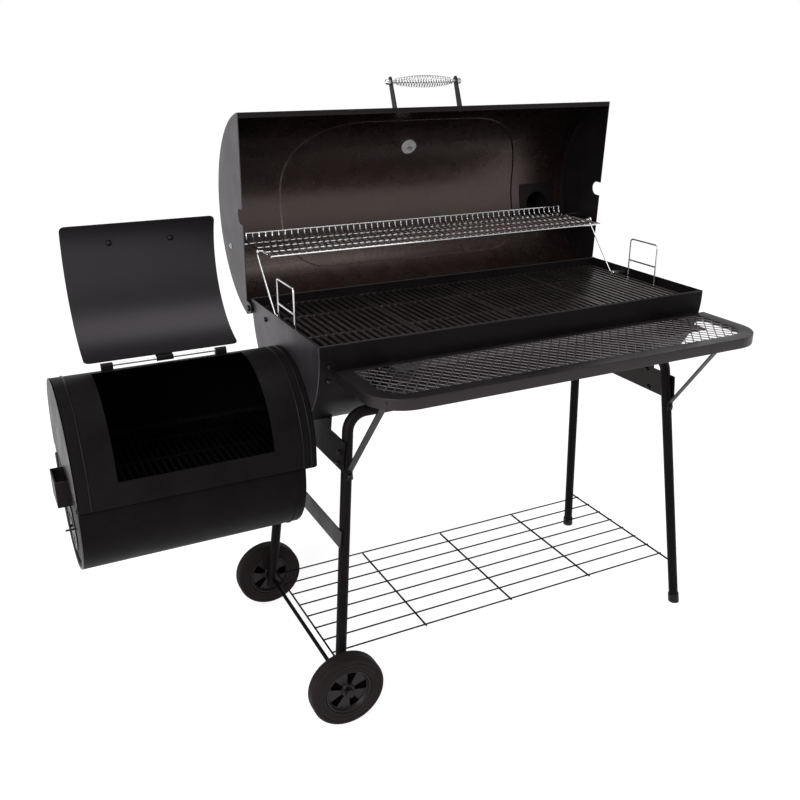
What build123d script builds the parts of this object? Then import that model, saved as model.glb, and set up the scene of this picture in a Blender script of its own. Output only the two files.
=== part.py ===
from build123d import *
import os
from math import atan, cos, degrees, radians, sin, sqrt, tan

os.makedirs("parts", exist_ok=True)

# Driving dimensions, in millimetres and degrees

# Cooking chamber
chamber_length = 1040.0
chamber_radius = 220.0
chamber_straight = 13.0
rim_height = 903.0
sheet = 2.0

# Lid, measured closed and drawn open
lid_open_angle = 87.0
lid_front_gap = 14.0
lid_back_gap = 22.0
lid_rise = 194.0
lid_overlap = 8.0
lid_side_gap = 6.0
lid_lip = 10.0
hinge_behind = 2.0
hinge_drop = 24.0
hinge_ear = 14.0
spit_notch_width = 36.0
spit_notch_depth = 34.0

# Pivot bolts
lid_bolt_radius = 4.0
link_bolt_radius = 3.0
bolt_head_height = 4.0
bolt_sides = 6
wire_sides = 8
running = 0.05
gap = 0.3

# Cooking grates
grate_count = 4
grate_drop = 17.0
grate_height = 8.0
grate_pitch = 16.5
grate_bar = 9.0
grate_cross = 83.0
grate_edge = 10.0
grate_end_gap = 18.0
grate_side_gap = 4.0
grate_join = 2.0
ledge_width = 20.0

# Warming rack and its links
rack_arm_back = 119.0
rack_arm_up = 132.0
link_from_front = 326.0
link_drop = 20.0
link_from_end = 20.0
link_thickness = 5.4
link_eye = 7.0
link_room = 5.0
rack_inset = 37.0
rack_front_reach = 181.0
rack_tail = 21.0
rack_lip_height = 27.0
rack_wire = 5.0
rack_bar = 4.0
rack_pitch = 35.0
rack_post_step = 4
rack_pin_out = 4.0

# Charcoal tray and its wire lifters
tray_width = 260.0
tray_depth = 30.0
tray_drop = 135.0
tray_inset = 17.0
lifter_from_end = 11.0
lifter_wire = 5.0
lifter_width = 106.0
lifter_rise = 84.0
lifter_pitch = 57.5
lifter_stub = 14.0
lifter_bend = 5.0
lifter_stub_drop = 13.0
hook_width = 24.0
hook_thickness = 3.0
hook_lip = 8.0

# Lid handle
fittings_shift = 10.5
handle_angle = 66.0
handle_spacing = 187.0
handle_reach = 88.0
handle_rod_inset = 13.0
strap_width = 16.0
strap_thickness = 3.0
strap_foot = 24.0
grip_length = 165.0
grip_end_radius = 8.0
grip_mid_radius = 16.0
grip_sides = 12
handle_rod_radius = 4.0
handle_nut_radius = 7.0
handle_nut_length = 9.0

# Thermometer
thermometer_angle = 30.3
thermometer_radius = 32.0
thermometer_depth = 16.0
thermometer_stem_radius = 6.0
thermometer_nut_radius = 20.0
thermometer_nut_height = 7.0
thermometer_wall = 3.0
glass_thickness = 2.0
needle_length = 20.0
needle_width = 3.0
needle_thickness = 1.0
needle_pin_radius = 1.5

# Smokestack
stack_from_right = 80.0
stack_angle = 17.0
stack_radius = 38.0
stack_length = 270.0
stack_plate = 120.0
damper_overhang = 4.0
damper_pin_radius = 3.0
damper_boss_radius = 7.0
damper_boss_length = 24.0
damper_tab = 22.0

# Leg frames
tube_radius = 12.7
tube_wall = 1.5
tube_sides = 12
leg_bend = 45.0
bend_steps = 3
leg_left_inset = 77.0
leg_right_inset = 69.0
leg_inset = 36.0
leg_bar_drop = 172.0
leg_splay_x = 5.7
leg_splay_y = 5.4
leg_tail = 24.0
cap_radius = 15.0
cap_height = 26.0
cap_floor = 6.0

# Cradles and brace
plate = 3.0
cradle_bottom = 298.0
cradle_wing_top = 229.0
cradle_seat_half = 128.0
brace_top = 436.0
brace_height = 42.0

# Wheels and axle
wheel_radius = 89.5
wheel_width = 40.0
tyre_depth = 33.5
tyre_round = 9.0
hub_wall = 5.0
hub_rim = 7.0
hub_boss_radius = 17.0
hub_web = 10.0
hub_sides = 20
hub_windows = 5
window_half_angle = 15.5
window_inner = 19.0
hub_turn = 15.0
axle_radius = 5.0
axle_cap_radius = 11.0
axle_cap_height = 7.0
wheel_gap = 3.0

# Lower wire shelf
wire_shelf_height = 127.0
wire_shelf_wire = 6.0
wire_shelf_runs = 8
wire_shelf_ties = 5
wire_shelf_inset = 26.0

# Front mesh shelf
shelf_left = 35.0
shelf_past_end = 10.0
shelf_depth = 216.0
shelf_drop = 56.0
shelf_gap = 2.0
shelf_corner = 88.0
shelf_apron = 24.0
shelf_border = 34.0
shelf_back_border = 17.0
mesh_cell_x = 40.0
mesh_cell_y = 54.0
mesh_strand = 4.0
mesh_thickness = 2.0
bracket_spacing = 800.0
bracket_width = 30.0
bracket_drop = 110.0
strut_width = 16.0
strut_end_back = 156.0
strut_foot = 20.0
strut_bend = 5.0
strut_foot_drop = 298.0

# Firebox
firebox_length = 500.0
firebox_radius = 180.0
firebox_centre_y = 215.0
firebox_centre_drop = 243.0
firebox_seam_drop = 281.0
firebox_ledge = 12.0
firebox_end_cut = 15.0
port_width = 190.0
port_height = 80.0
port_drop = 150.0
port_round = 30.0

# Firebox door, measured closed and drawn open
door_open_angle = 153.5
door_centre = 256.0
door_width = 336.0
door_top_angle = 103.9
door_bottom_angle = -2.8
door_lap = 6.0
mouth_top_angle = 97.0
mouth_bottom_angle = 4.7
door_gap = 2.3
door_corner = 12.0
door_hinge_angle = 106.5
door_hinge_rise = 9.0
door_rod_radius = 3.0
door_rod_length = 273.0
knuckle_radius = 6.0
knuckle_width = 36.0
tab_width = 25.0
door_handle_angle = 12.0
door_handle_spacing = 135.0
door_handle_reach = 58.0
door_grip_length = 112.0

# Ash drawer, its grate and its air damper
drawer_radius = 165.0
drawer_bottom_drop = 480.0
drawer_left_gap = 1.0
drawer_right_gap = 21.0
drawer_flange = 11.0
firebox_grate_pitch = 32.0
firebox_grate_bar = 6.0
firebox_grate_cross = 110.0
firebox_grate_height = 6.0
drawer_handle_width = 80.0
drawer_handle_reach = 27.0
drawer_handle_height = 58.0
drawer_handle_drop = 297.0
air_damper_radius = 55.0
air_damper_drop = 392.0
air_vent_width = 24.0
air_vent_circle = 32.0
air_vents = 3
air_rest_angle = 20.0
air_pin_radius = 3.0
air_pin_length = 8.0
air_tab_angle = 163.0
air_tab_inset = 8.0
air_tab_reach = 18.0

# Values worked out from the driving dimensions

chamber_depth = 2 * chamber_radius
middle_x = chamber_length / 2
fittings_x = middle_x - fittings_shift
middle_y = chamber_radius
hinge_y = chamber_depth + hinge_behind
hinge_z = -hinge_drop

# Lid section, in the closed lid's own frame: back from the hinge and up from it
lid_front = -(chamber_depth + hinge_behind + lid_front_gap)
lid_back = lid_back_gap - hinge_behind
lid_half = (lid_back - lid_front) / 2
lid_mid = (lid_back + lid_front) / 2
lid_rim = hinge_drop - lid_overlap
lid_radius = (lid_half**2 + lid_rise**2) / (2 * lid_rise)
lid_centre = lid_rim + lid_rise - lid_radius
open_cos = cos(radians(lid_open_angle))
open_sin = sin(radians(lid_open_angle))

# Parallelogram of the warming rack, at rest with the lid open
rack_pivot_y = hinge_y + rack_arm_back
rack_pivot_z = hinge_z + rack_arm_up
link_pivot_y = link_from_front
link_pivot_z = -link_drop
link_top_y = link_pivot_y + rack_arm_back
link_top_z = link_pivot_z + rack_arm_up
link_end = link_from_end + link_thickness + gap
link_reach = link_end + bolt_head_height + link_room
rack_hole_back = open_cos * rack_arm_back - open_sin * rack_arm_up
rack_hole_up = open_sin * rack_arm_back + open_cos * rack_arm_up

# Grates and tray
grate_top = -grate_drop
grate_bottom = grate_top - grate_height
grate_run = chamber_length - 2 * grate_end_gap
grate_length = (grate_run - (grate_count - 1) * grate_join) / grate_count
grate_depth = chamber_depth - 2 * (sheet + grate_side_gap)
tray_length = chamber_length - 2 * tray_inset
lifter_low_rung = lifter_rise - 2 * lifter_pitch
lifter_radius = lifter_wire / 2

# Legs
splay_x = tan(radians(leg_splay_x))
splay_y = tan(radians(leg_splay_y))
leg_lean = sqrt(1 + splay_y**2)
side_lean = sqrt(1 + splay_x**2)
leg_left = leg_left_inset
leg_right = chamber_length - leg_right_inset
leg_span = leg_right - leg_left
frame_x = (leg_left + leg_right) / 2
axle_drop = rim_height - wheel_radius
axle_x = leg_left - splay_x * (axle_drop - leg_bar_drop)
axle_front = leg_inset - splay_y * (axle_drop - leg_bar_drop)
axle_back = chamber_depth - axle_front
wheel_front_y = axle_front - tube_radius - wheel_gap - wheel_width / 2
wheel_back_y = chamber_depth - wheel_front_y
axle_half = (wheel_back_y - wheel_front_y + wheel_width) / 2 + gap
shelf_level_drop = rim_height - wire_shelf_height

# Firebox
firebox_centre_z = -firebox_centre_drop
door_inner = firebox_radius + door_gap
door_outer = door_inner + sheet
hinge_radius = firebox_radius + door_hinge_rise
door_hinge_y = firebox_centre_y - hinge_radius * cos(radians(door_hinge_angle))
door_hinge_z = firebox_centre_z + hinge_radius * sin(radians(door_hinge_angle))
door_cos = cos(radians(door_open_angle))
door_sin = sin(radians(door_open_angle))
drawer_centre_z = -(drawer_bottom_drop - drawer_radius)
ledge_top = -firebox_seam_drop + sheet
flange_bottom = ledge_top + gap
flange_top = flange_bottom + sheet
end_bottom = -firebox_seam_drop + firebox_end_cut
drawer_left = -firebox_length + drawer_left_gap
drawer_right = -drawer_right_gap

# Origin at the middle of the object's box, on the ground
stack_top_up = lid_centre + lid_radius * cos(radians(stack_angle)) + stack_length
stack_back = lid_mid + lid_radius * sin(radians(stack_angle))
stack_x = chamber_length - stack_from_right
damper_radius = stack_radius + damper_overhang
foot_x = leg_right + splay_x * (rim_height - leg_bar_drop)
left_reach = -drawer_left + drawer_handle_reach
right_reach = foot_x + cap_radius * side_lean
front_reach = shelf_gap + shelf_depth
damper_top_up = stack_top_up + gap + sheet
back_reach = hinge_y + open_cos * (stack_back + damper_radius) + open_sin * damper_top_up
left = (left_reach - right_reach) / 2
front = (front_reach - back_reach) / 2
rim = rim_height


def at(x, y, z):
    """A point measured from the chamber's left end, front wall and rim."""
    return (left + x, front + y, rim + z)


def across(x):
    """The sketch plane that cuts the object at x: its axes are y and z."""
    return Plane(origin=at(x, 0, 0), x_dir=(0, 1, 0), z_dir=(1, 0, 0))


def level(z):
    """The flat sketch plane at height z: its axes are x and y."""
    return Plane(origin=at(0, 0, z))


def upright(y):
    """The sketch plane that faces the front at y: its axes are x and z."""
    return Plane(origin=at(0, y, 0), x_dir=(1, 0, 0), z_dir=(0, -1, 0))


def lid_across(x):
    """The lid's sketch plane at x: back from the hinge and up from it, as if closed."""
    return Plane(
        origin=at(x, hinge_y, hinge_z), x_dir=(0, open_cos, -open_sin), z_dir=(1, 0, 0)
    )


def lid_point(x, back, up):
    """A point of the open lid, given as it lies on the closed one."""
    return at(
        x,
        hinge_y + back * open_cos + up * open_sin,
        hinge_z - back * open_sin + up * open_cos,
    )


def lid_radial(x, angle, radius):
    """The plane square to the lid's skin, at an angle in front of its top."""
    back = -sin(radians(angle))
    up = cos(radians(angle))
    return Plane(
        origin=lid_point(x, lid_mid + radius * back, lid_centre + radius * up),
        x_dir=(1, 0, 0),
        z_dir=(0, back * open_cos + up * open_sin, -back * open_sin + up * open_cos),
    )


def door_across(x):
    """The door's sketch plane at x: back from its hinge and up from it, as if closed."""
    return Plane(
        origin=at(x, door_hinge_y, door_hinge_z),
        x_dir=(0, door_cos, -door_sin),
        z_dir=(1, 0, 0),
    )


def door_radial(x, angle, radius):
    """The plane square to the door's skin, at an angle above the firebox's axis."""
    back = firebox_centre_y - door_hinge_y - radius * cos(radians(angle))
    up = firebox_centre_z - door_hinge_z + radius * sin(radians(angle))
    out_back = -cos(radians(angle))
    out_up = sin(radians(angle))
    return Plane(
        origin=at(
            x,
            door_hinge_y + back * door_cos + up * door_sin,
            door_hinge_z - back * door_sin + up * door_cos,
        ),
        x_dir=(1, 0, 0),
        z_dir=(
            0,
            out_back * door_cos + out_up * door_sin,
            -out_back * door_sin + out_up * door_cos,
        ),
    )


def save(piece, name):
    """Labels a finished piece and writes it under its own name."""
    piece.part.label = name
    export_step(piece.part, f"parts/{name}.step")


def trough(centre_y, centre_z, radius, top, mode=Mode.ADD):
    """A U-shaped section: straight sides from the top, and a half-round bottom."""
    with BuildLine() as outline:
        Polyline(
            (centre_y - radius, centre_z),
            (centre_y - radius, top),
            (centre_y + radius, top),
            (centre_y + radius, centre_z),
        )
        CenterArc((centre_y, centre_z), radius, 180, 180)
    make_face(outline.edges(), mode=mode)


def barrel(inset, mode=Mode.ADD):
    """The chamber's section, drawn inside its outer face."""
    trough(middle_y, -chamber_straight, chamber_radius - inset, 0, mode)


def hood(inset, bottom, mode=Mode.ADD):
    """The firebox's upper section: a half-round top on straight skirts."""
    radius = firebox_radius - inset
    with BuildLine() as outline:
        Polyline(
            (firebox_centre_y - radius, firebox_centre_z),
            (firebox_centre_y - radius, bottom),
            (firebox_centre_y + radius, bottom),
            (firebox_centre_y + radius, firebox_centre_z),
        )
        CenterArc((firebox_centre_y, firebox_centre_z), radius, 0, 180)
    make_face(outline.edges(), mode=mode)


def lid_section(inset, mode=Mode.ADD):
    """The lid's bow above its rim, drawn inside its outer face."""
    radius = lid_radius - inset
    half = sqrt(radius**2 - (lid_rim - lid_centre) ** 2)
    with BuildLine() as outline:
        ThreePointArc(
            (lid_mid - half, lid_rim), (lid_mid, lid_centre + radius), (lid_mid + half, lid_rim)
        )
        Line((lid_mid + half, lid_rim), (lid_mid - half, lid_rim))
    make_face(outline.edges(), mode=mode)


def bar_grid(length, depth, pitch, bar, edge, cross):
    """A grid: an edge frame, bars from front to back and two cross bars, each off the middle."""
    slots = int((length - 2 * edge - bar) / pitch)
    slot = (length - 2 * edge - (slots - 1) * bar) / slots
    Rectangle(length, depth)
    with GridLocations(slot + bar, 1, slots, 1):
        Rectangle(slot, depth - 2 * edge, mode=Mode.SUBTRACT)
    with GridLocations(1, 2 * cross, 1, 2):
        Rectangle(length, bar)


# Cooking chamber: a half-round trough between two end panels

with BuildPart() as chamber_shell:
    with BuildSketch(across(sheet)):
        barrel(0)
        barrel(sheet, Mode.SUBTRACT)
    extrude(amount=chamber_length - 2 * sheet)
save(chamber_shell, "chamber_shell")


def end_panel():
    """An end panel with a hinge ear at its back corner."""
    barrel(0)
    with Locations((hinge_y, hinge_z)):
        Circle(hinge_ear)
    with Locations((hinge_y - hinge_ear, hinge_z)):
        Rectangle(2 * hinge_ear, 2 * hinge_ear)


def smoke_port():
    """The smoke's way from the firebox into the chamber."""
    with Locations((firebox_centre_y, -port_drop)):
        RectangleRounded(port_width, port_height, port_round, mode=Mode.SUBTRACT)


with BuildPart() as chamber_left_end:
    with BuildSketch(across(0)):
        end_panel()
        smoke_port()
    extrude(amount=sheet)
save(chamber_left_end, "chamber_left_end")

with BuildPart() as chamber_right_end:
    with BuildSketch(across(chamber_length - sheet)):
        end_panel()
    extrude(amount=sheet)
save(chamber_right_end, "chamber_right_end")

with BuildPart() as grate_ledges:
    with BuildSketch(across(sheet)):
        barrel(sheet)
        with Locations((middle_y, grate_bottom - sheet / 2)):
            Rectangle(chamber_depth, sheet, mode=Mode.INTERSECT)
            Rectangle(chamber_depth - 2 * (sheet + ledge_width), sheet, mode=Mode.SUBTRACT)
    extrude(amount=chamber_length - 2 * sheet)
save(grate_ledges, "grate_ledges")

for number in range(grate_count):
    grate_x = grate_end_gap + grate_length / 2 + number * (grate_length + grate_join)
    with BuildPart() as cooking_grate:
        with BuildSketch(level(grate_bottom)):
            with Locations((grate_x, middle_y)):
                bar_grid(grate_length, grate_depth, grate_pitch, grate_bar, grate_edge, grate_cross)
            with Locations((0, link_pivot_y), (chamber_length, link_pivot_y)):
                Rectangle(2 * link_reach, 2 * (link_eye + link_room), mode=Mode.SUBTRACT)
        extrude(amount=grate_height)
    save(cooking_grate, f"cooking_grate_{number + 1}")

# Charcoal tray, hung at each end from a wire lifter that hooks on the end panel

with BuildPart() as tray_hooks:
    with BuildSketch(upright(middle_y + hook_width / 2)):
        hook_top = lifter_low_rung - lifter_radius - gap
        lip_x = lifter_from_end + lifter_radius + gap
        hook_end = lip_x + hook_thickness
        with BuildLine():
            Polyline(
                (sheet, hook_top),
                (lip_x, hook_top),
                (lip_x, hook_top + hook_lip),
                (hook_end, hook_top + hook_lip),
                (hook_end, hook_top - hook_thickness),
                (sheet, hook_top - hook_thickness),
                close=True,
            )
        make_face()
    extrude(amount=hook_width)
    mirror(about=across(middle_x))
save(tray_hooks, "tray_hooks")

stub_level = -tray_drop - lifter_stub_drop

with BuildPart() as charcoal_tray:
    with BuildSketch(level(-tray_drop - tray_depth)):
        with Locations((middle_x, middle_y)):
            Rectangle(tray_length, tray_width)
    extrude(amount=tray_depth)
    with BuildSketch(level(-tray_drop - tray_depth + sheet)):
        with Locations((middle_x, middle_y)):
            Rectangle(tray_length - 2 * sheet, tray_width - 2 * sheet)
    extrude(amount=tray_depth, mode=Mode.SUBTRACT)
    with BuildSketch(across(tray_inset)):
        with Locations((middle_y, stub_level)):
            with GridLocations(lifter_width, 1, 2, 1):
                Rectangle(lifter_wire + 2 * running, lifter_wire + 2 * running)
    extrude(amount=tray_length, mode=Mode.SUBTRACT)
save(charcoal_tray, "charcoal_tray")

with BuildPart() as tray_lifters:
    with BuildSketch(across(lifter_from_end - lifter_radius)):
        lifter_top = lifter_rise + lifter_radius
        lifter_bottom = stub_level - lifter_radius
        with Locations((middle_y, (lifter_top + lifter_bottom) / 2)):
            RectangleRounded(lifter_width + lifter_wire, lifter_top - lifter_bottom, lifter_bend)
        with Locations((middle_y, lifter_top - lifter_wire)):
            for rung in range(3):
                with Locations((0, -rung * lifter_pitch)):
                    Rectangle(
                        lifter_width - lifter_wire,
                        lifter_pitch - lifter_wire,
                        align=(Align.CENTER, Align.MAX),
                        mode=Mode.SUBTRACT,
                    )
        with Locations((middle_y, lifter_low_rung - lifter_radius)):
            Rectangle(
                lifter_width - lifter_wire,
                lifter_rise + rim_height,
                align=(Align.CENTER, Align.MAX),
                mode=Mode.SUBTRACT,
            )
    extrude(amount=lifter_wire)
    with BuildSketch(across(lifter_from_end)):
        with Locations((middle_y, stub_level)):
            with GridLocations(lifter_width, 1, 2, 1):
                Rectangle(lifter_wire, lifter_wire)
    extrude(amount=lifter_stub)
    mirror(about=across(middle_x))
save(tray_lifters, "tray_lifters")

# Lid: a bowed skin between two end panels that turn on studs on the chamber's ears

stack_axis = Plane(
    origin=lid_point(stack_x, stack_back, lid_centre), x_dir=(1, 0, 0), z_dir=(0, open_sin, open_cos)
)

with BuildPart() as lid_shell:
    with BuildSketch(lid_across(-lid_side_gap)):
        lid_section(0)
        lid_section(sheet, Mode.SUBTRACT)
        with Locations((lid_front + sheet, lid_rim)):
            Rectangle(lid_lip, sheet, align=(Align.MIN, Align.MIN))
    extrude(amount=chamber_length + 2 * lid_side_gap)
    with BuildSketch(stack_axis):
        Circle(stack_radius - sheet)
    extrude(amount=lid_radius + sheet, mode=Mode.SUBTRACT)
    with BuildSketch(lid_radial(fittings_x, thermometer_angle, lid_radius - 2 * sheet)):
        Circle(thermometer_stem_radius + running)
    extrude(amount=4 * sheet, mode=Mode.SUBTRACT)
save(lid_shell, "lid_shell")


def lid_end():
    """A lid end panel: the bow, a hinge ear, the rack's pivot hole and the spit notch."""
    lid_section(0)
    Circle(hinge_ear)
    with Locations((0, lid_rim / 2)):
        Rectangle(2 * hinge_ear, lid_rim + sheet)
    Circle(lid_bolt_radius + running, mode=Mode.SUBTRACT)
    with Locations((rack_hole_back, rack_hole_up)):
        Circle(rack_wire / 2 + running, mode=Mode.SUBTRACT)
    with Locations((lid_mid, lid_rim)):
        Rectangle(spit_notch_width, 2 * spit_notch_depth - spit_notch_width, mode=Mode.SUBTRACT)
    with Locations((lid_mid, lid_rim + spit_notch_depth - spit_notch_width / 2)):
        Circle(spit_notch_width / 2, mode=Mode.SUBTRACT)


for side, panel_x in (("left", -lid_side_gap - sheet), ("right", chamber_length + lid_side_gap)):
    with BuildPart() as lid_panel:
        with BuildSketch(lid_across(panel_x)):
            lid_end()
        extrude(amount=sheet)
    save(lid_panel, f"lid_{side}_end")

with BuildPart() as lid_pivot_studs:
    with BuildSketch(across(-lid_side_gap + gap)):
        with Locations((hinge_y, hinge_z)):
            RegularPolygon(2 * lid_bolt_radius, wire_sides)
    extrude(amount=lid_side_gap - gap)
    with BuildSketch(across(-lid_side_gap - sheet - gap)):
        with Locations((hinge_y, hinge_z)):
            Circle(lid_bolt_radius)
    extrude(amount=lid_side_gap + sheet + gap)
    with BuildSketch(across(-lid_side_gap - sheet - gap - bolt_head_height)):
        with Locations((hinge_y, hinge_z)):
            RegularPolygon(2 * lid_bolt_radius, bolt_sides)
    extrude(amount=bolt_head_height)
    mirror(about=across(middle_x))
save(lid_pivot_studs, "lid_pivot_studs")


def strap_pair(plane_at, spacing, reach):
    """Two straps that stand square on a bowed skin, each on a foot."""
    for side in (-1, 1):
        base = plane_at(side * spacing / 2)
        with BuildSketch(base) as foot:
            Rectangle(strap_width, strap_foot)
        extrude(foot.sketch, amount=strap_thickness)
        with BuildSketch(base) as stand:
            Rectangle(strap_thickness, strap_width)
        extrude(stand.sketch, amount=reach)


def rod_with_nuts(start, length, radius, nut_radius, nut_length):
    """A rod along x between two straps, with a nut outside each strap."""
    with BuildSketch(Plane(origin=start, z_dir=(1, 0, 0))) as rod:
        Circle(radius)
    extrude(rod.sketch, amount=length)
    for end, way in ((-strap_thickness, -1), (length + strap_thickness, 1)):
        with BuildSketch(Plane(origin=(start[0] + end, start[1], start[2]), z_dir=(way, 0, 0))) as nut:
            RegularPolygon(nut_radius, bolt_sides)
        extrude(nut.sketch, amount=nut_length)


def barrel_grip(centre, length, hole):
    """A hollow grip that swells to its middle, on a rod along x."""
    taper = degrees(atan((grip_mid_radius - grip_end_radius) / (length / 2)))
    for way in (1, -1):
        with BuildSketch(Plane(origin=centre, z_dir=(way, 0, 0))) as section:
            RegularPolygon(grip_mid_radius, grip_sides)
        extrude(section.sketch, amount=length / 2, taper=taper)
    with BuildSketch(Plane(origin=centre, z_dir=(1, 0, 0))) as bore:
        Circle(hole)
    extrude(bore.sketch, amount=length, both=True, mode=Mode.SUBTRACT)


def lid_handle_base(offset):
    """The foot of a lid handle strap."""
    return lid_radial(fittings_x + offset, handle_angle, lid_radius)


lid_grip_plane = lid_radial(fittings_x, handle_angle, lid_radius + handle_reach - handle_rod_inset)
lid_grip_centre = tuple(lid_grip_plane.origin)
lid_rod_length = handle_spacing - strap_thickness

with BuildPart() as handle_straps:
    strap_pair(lid_handle_base, handle_spacing, handle_reach)
save(handle_straps, "handle_straps")

with BuildPart() as handle_rod:
    rod_start = (lid_grip_centre[0] - lid_rod_length / 2, lid_grip_centre[1], lid_grip_centre[2])
    rod_with_nuts(rod_start, lid_rod_length, handle_rod_radius, handle_nut_radius, handle_nut_length)
save(handle_rod, "handle_rod")

with BuildPart() as handle_grip:
    barrel_grip(lid_grip_centre, grip_length, handle_rod_radius + running)
save(handle_grip, "handle_grip")

# Thermometer: a cup with a stem through the lid, a nut inside, and a needle under glass

dial_floor = thermometer_depth / 2
glass_level = thermometer_depth - glass_thickness

with BuildPart() as thermometer_case:
    with BuildSketch(lid_radial(fittings_x, thermometer_angle, lid_radius)):
        Circle(thermometer_radius)
    extrude(amount=thermometer_depth)
    with BuildSketch(lid_radial(fittings_x, thermometer_angle, lid_radius + dial_floor)):
        Circle(thermometer_radius - thermometer_wall)
    extrude(amount=thermometer_depth, mode=Mode.SUBTRACT)
    with BuildSketch(lid_radial(fittings_x, thermometer_angle, lid_radius + dial_floor)):
        Circle(needle_pin_radius)
    extrude(amount=glass_level - dial_floor - gap)
    stem_length = 3 * sheet + thermometer_nut_height
    with BuildSketch(lid_radial(fittings_x, thermometer_angle, lid_radius - stem_length)):
        Circle(thermometer_stem_radius)
    extrude(amount=stem_length)
save(thermometer_case, "thermometer_case")

with BuildPart() as thermometer_glass:
    with BuildSketch(lid_radial(fittings_x, thermometer_angle, lid_radius + glass_level)):
        Circle(thermometer_radius - thermometer_wall)
    extrude(amount=glass_thickness)
save(thermometer_glass, "thermometer_glass")

with BuildPart() as thermometer_needle:
    needle_level = (dial_floor + glass_level) / 2
    with BuildSketch(lid_radial(fittings_x, thermometer_angle, lid_radius + needle_level)):
        Rectangle(2 * needle_length, needle_width)
        Circle(2 * needle_pin_radius)
        Circle(needle_pin_radius + running, mode=Mode.SUBTRACT)
    extrude(amount=needle_thickness)
save(thermometer_needle, "thermometer_needle")

with BuildPart() as thermometer_nut:
    nut_bow = (thermometer_nut_radius**2) / (2 * lid_radius)
    nut_seat = lid_radius - sheet - nut_bow - gap - thermometer_nut_height
    with BuildSketch(lid_radial(fittings_x, thermometer_angle, nut_seat)):
        Circle(thermometer_nut_radius)
        Circle(thermometer_stem_radius + running, mode=Mode.SUBTRACT)
    extrude(amount=thermometer_nut_height)
save(thermometer_nut, "thermometer_nut")

# Smokestack: a pipe coped to the lid, upright when the lid is closed, with a swivel cap

damper_pin_x = stack_radius + damper_boss_radius - sheet
stack_top = Plane(
    origin=lid_point(stack_x, stack_back, stack_top_up), x_dir=(1, 0, 0), z_dir=(0, open_sin, open_cos)
)
stack_cap_level = Plane(
    origin=lid_point(stack_x, stack_back, stack_top_up + gap), x_dir=(1, 0, 0), z_dir=stack_top.z_dir
)

with BuildPart() as smokestack:
    with BuildSketch(stack_axis):
        Circle(stack_radius)
    extrude(amount=stack_top_up - lid_centre)
    with BuildSketch(stack_top):
        with Locations((damper_pin_x, 0)):
            Rectangle(2 * damper_boss_radius, 2 * damper_boss_radius)
    extrude(amount=-damper_boss_length)
    with BuildSketch(stack_top):
        with Locations((damper_pin_x, 0)):
            Circle(damper_pin_radius)
    extrude(amount=gap + sheet)
    with BuildSketch(stack_axis):
        Circle(stack_radius - sheet)
    extrude(amount=stack_top_up - lid_centre, mode=Mode.SUBTRACT)
    with BuildSketch(lid_across(stack_x - stack_plate / 2)):
        with Locations((lid_mid, lid_centre)):
            Circle(lid_radius)
    extrude(amount=stack_plate, mode=Mode.SUBTRACT)
save(smokestack, "smokestack")

with BuildPart() as stack_flange:
    with BuildSketch(lid_across(stack_x - stack_plate / 2)):
        with Locations((lid_mid, lid_centre)):
            Circle(lid_radius - sheet)
            Circle(lid_radius - 2 * sheet, mode=Mode.SUBTRACT)
        with Locations((stack_back, lid_centre + lid_radius)):
            Rectangle(stack_plate, lid_radius, mode=Mode.INTERSECT)
    extrude(amount=stack_plate)
    with BuildSketch(stack_axis):
        Circle(stack_radius - sheet)
    extrude(amount=lid_radius, mode=Mode.SUBTRACT)
save(stack_flange, "stack_flange")

with BuildPart() as stack_damper:
    with BuildSketch(stack_cap_level):
        Circle(damper_radius)
        with Locations((damper_pin_x, 0)):
            Rectangle(2 * damper_boss_radius, 2 * damper_boss_radius)
        with Locations((-damper_radius, 0)):
            Rectangle(damper_tab, damper_boss_radius)
        with Locations((damper_pin_x, 0)):
            Circle(damper_pin_radius + running, mode=Mode.SUBTRACT)
    extrude(amount=sheet)
save(stack_damper, "stack_damper")

# Warming rack: a wire tray that swings with the lid and stays level on two wire links

rack_front = rack_pivot_y - rack_front_reach
rack_back = rack_pivot_y + rack_tail
rack_width = chamber_length - 2 * rack_inset + rack_wire
rack_bottom = (rack_pivot_z + link_top_z) / 2 - rack_wire / 2
rack_bars = int(rack_width / rack_pitch)

with BuildPart() as warming_rack:
    with BuildSketch(level(rack_bottom)):
        with Locations((middle_x, (rack_front + rack_back) / 2)):
            rack_span = rack_back - rack_front + rack_wire
            Rectangle(rack_width, rack_span)
            Rectangle(rack_width - 2 * rack_wire, rack_span - 2 * rack_wire, mode=Mode.SUBTRACT)
            with GridLocations(rack_pitch, 1, rack_bars, 1):
                Rectangle(rack_bar, rack_span)
            Rectangle(rack_width, rack_wire)
    extrude(amount=rack_wire)
    with BuildSketch(upright(rack_back + rack_wire / 2)):
        with Locations((middle_x, rack_bottom + rack_lip_height - rack_wire / 2)):
            Rectangle(rack_width, rack_wire)
        with Locations((middle_x, rack_bottom + rack_lip_height / 2)):
            with GridLocations(rack_post_step * rack_pitch, 1, rack_bars // rack_post_step + 1, 1):
                Rectangle(rack_bar, rack_lip_height)
    extrude(amount=rack_wire)
    with BuildSketch(across(-lid_side_gap - sheet - rack_pin_out)):
        with Locations((rack_pivot_y, rack_pivot_z)):
            Circle(rack_wire / 2)
    extrude(amount=lid_side_gap + sheet + rack_pin_out + rack_inset)
    with BuildSketch(across(link_from_end - gap)):
        with Locations((link_top_y, link_top_z)):
            RegularPolygon(rack_wire / 2, wire_sides)
    extrude(amount=rack_inset - link_from_end + gap)
    mirror(about=across(middle_x))
save(warming_rack, "warming_rack")

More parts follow.
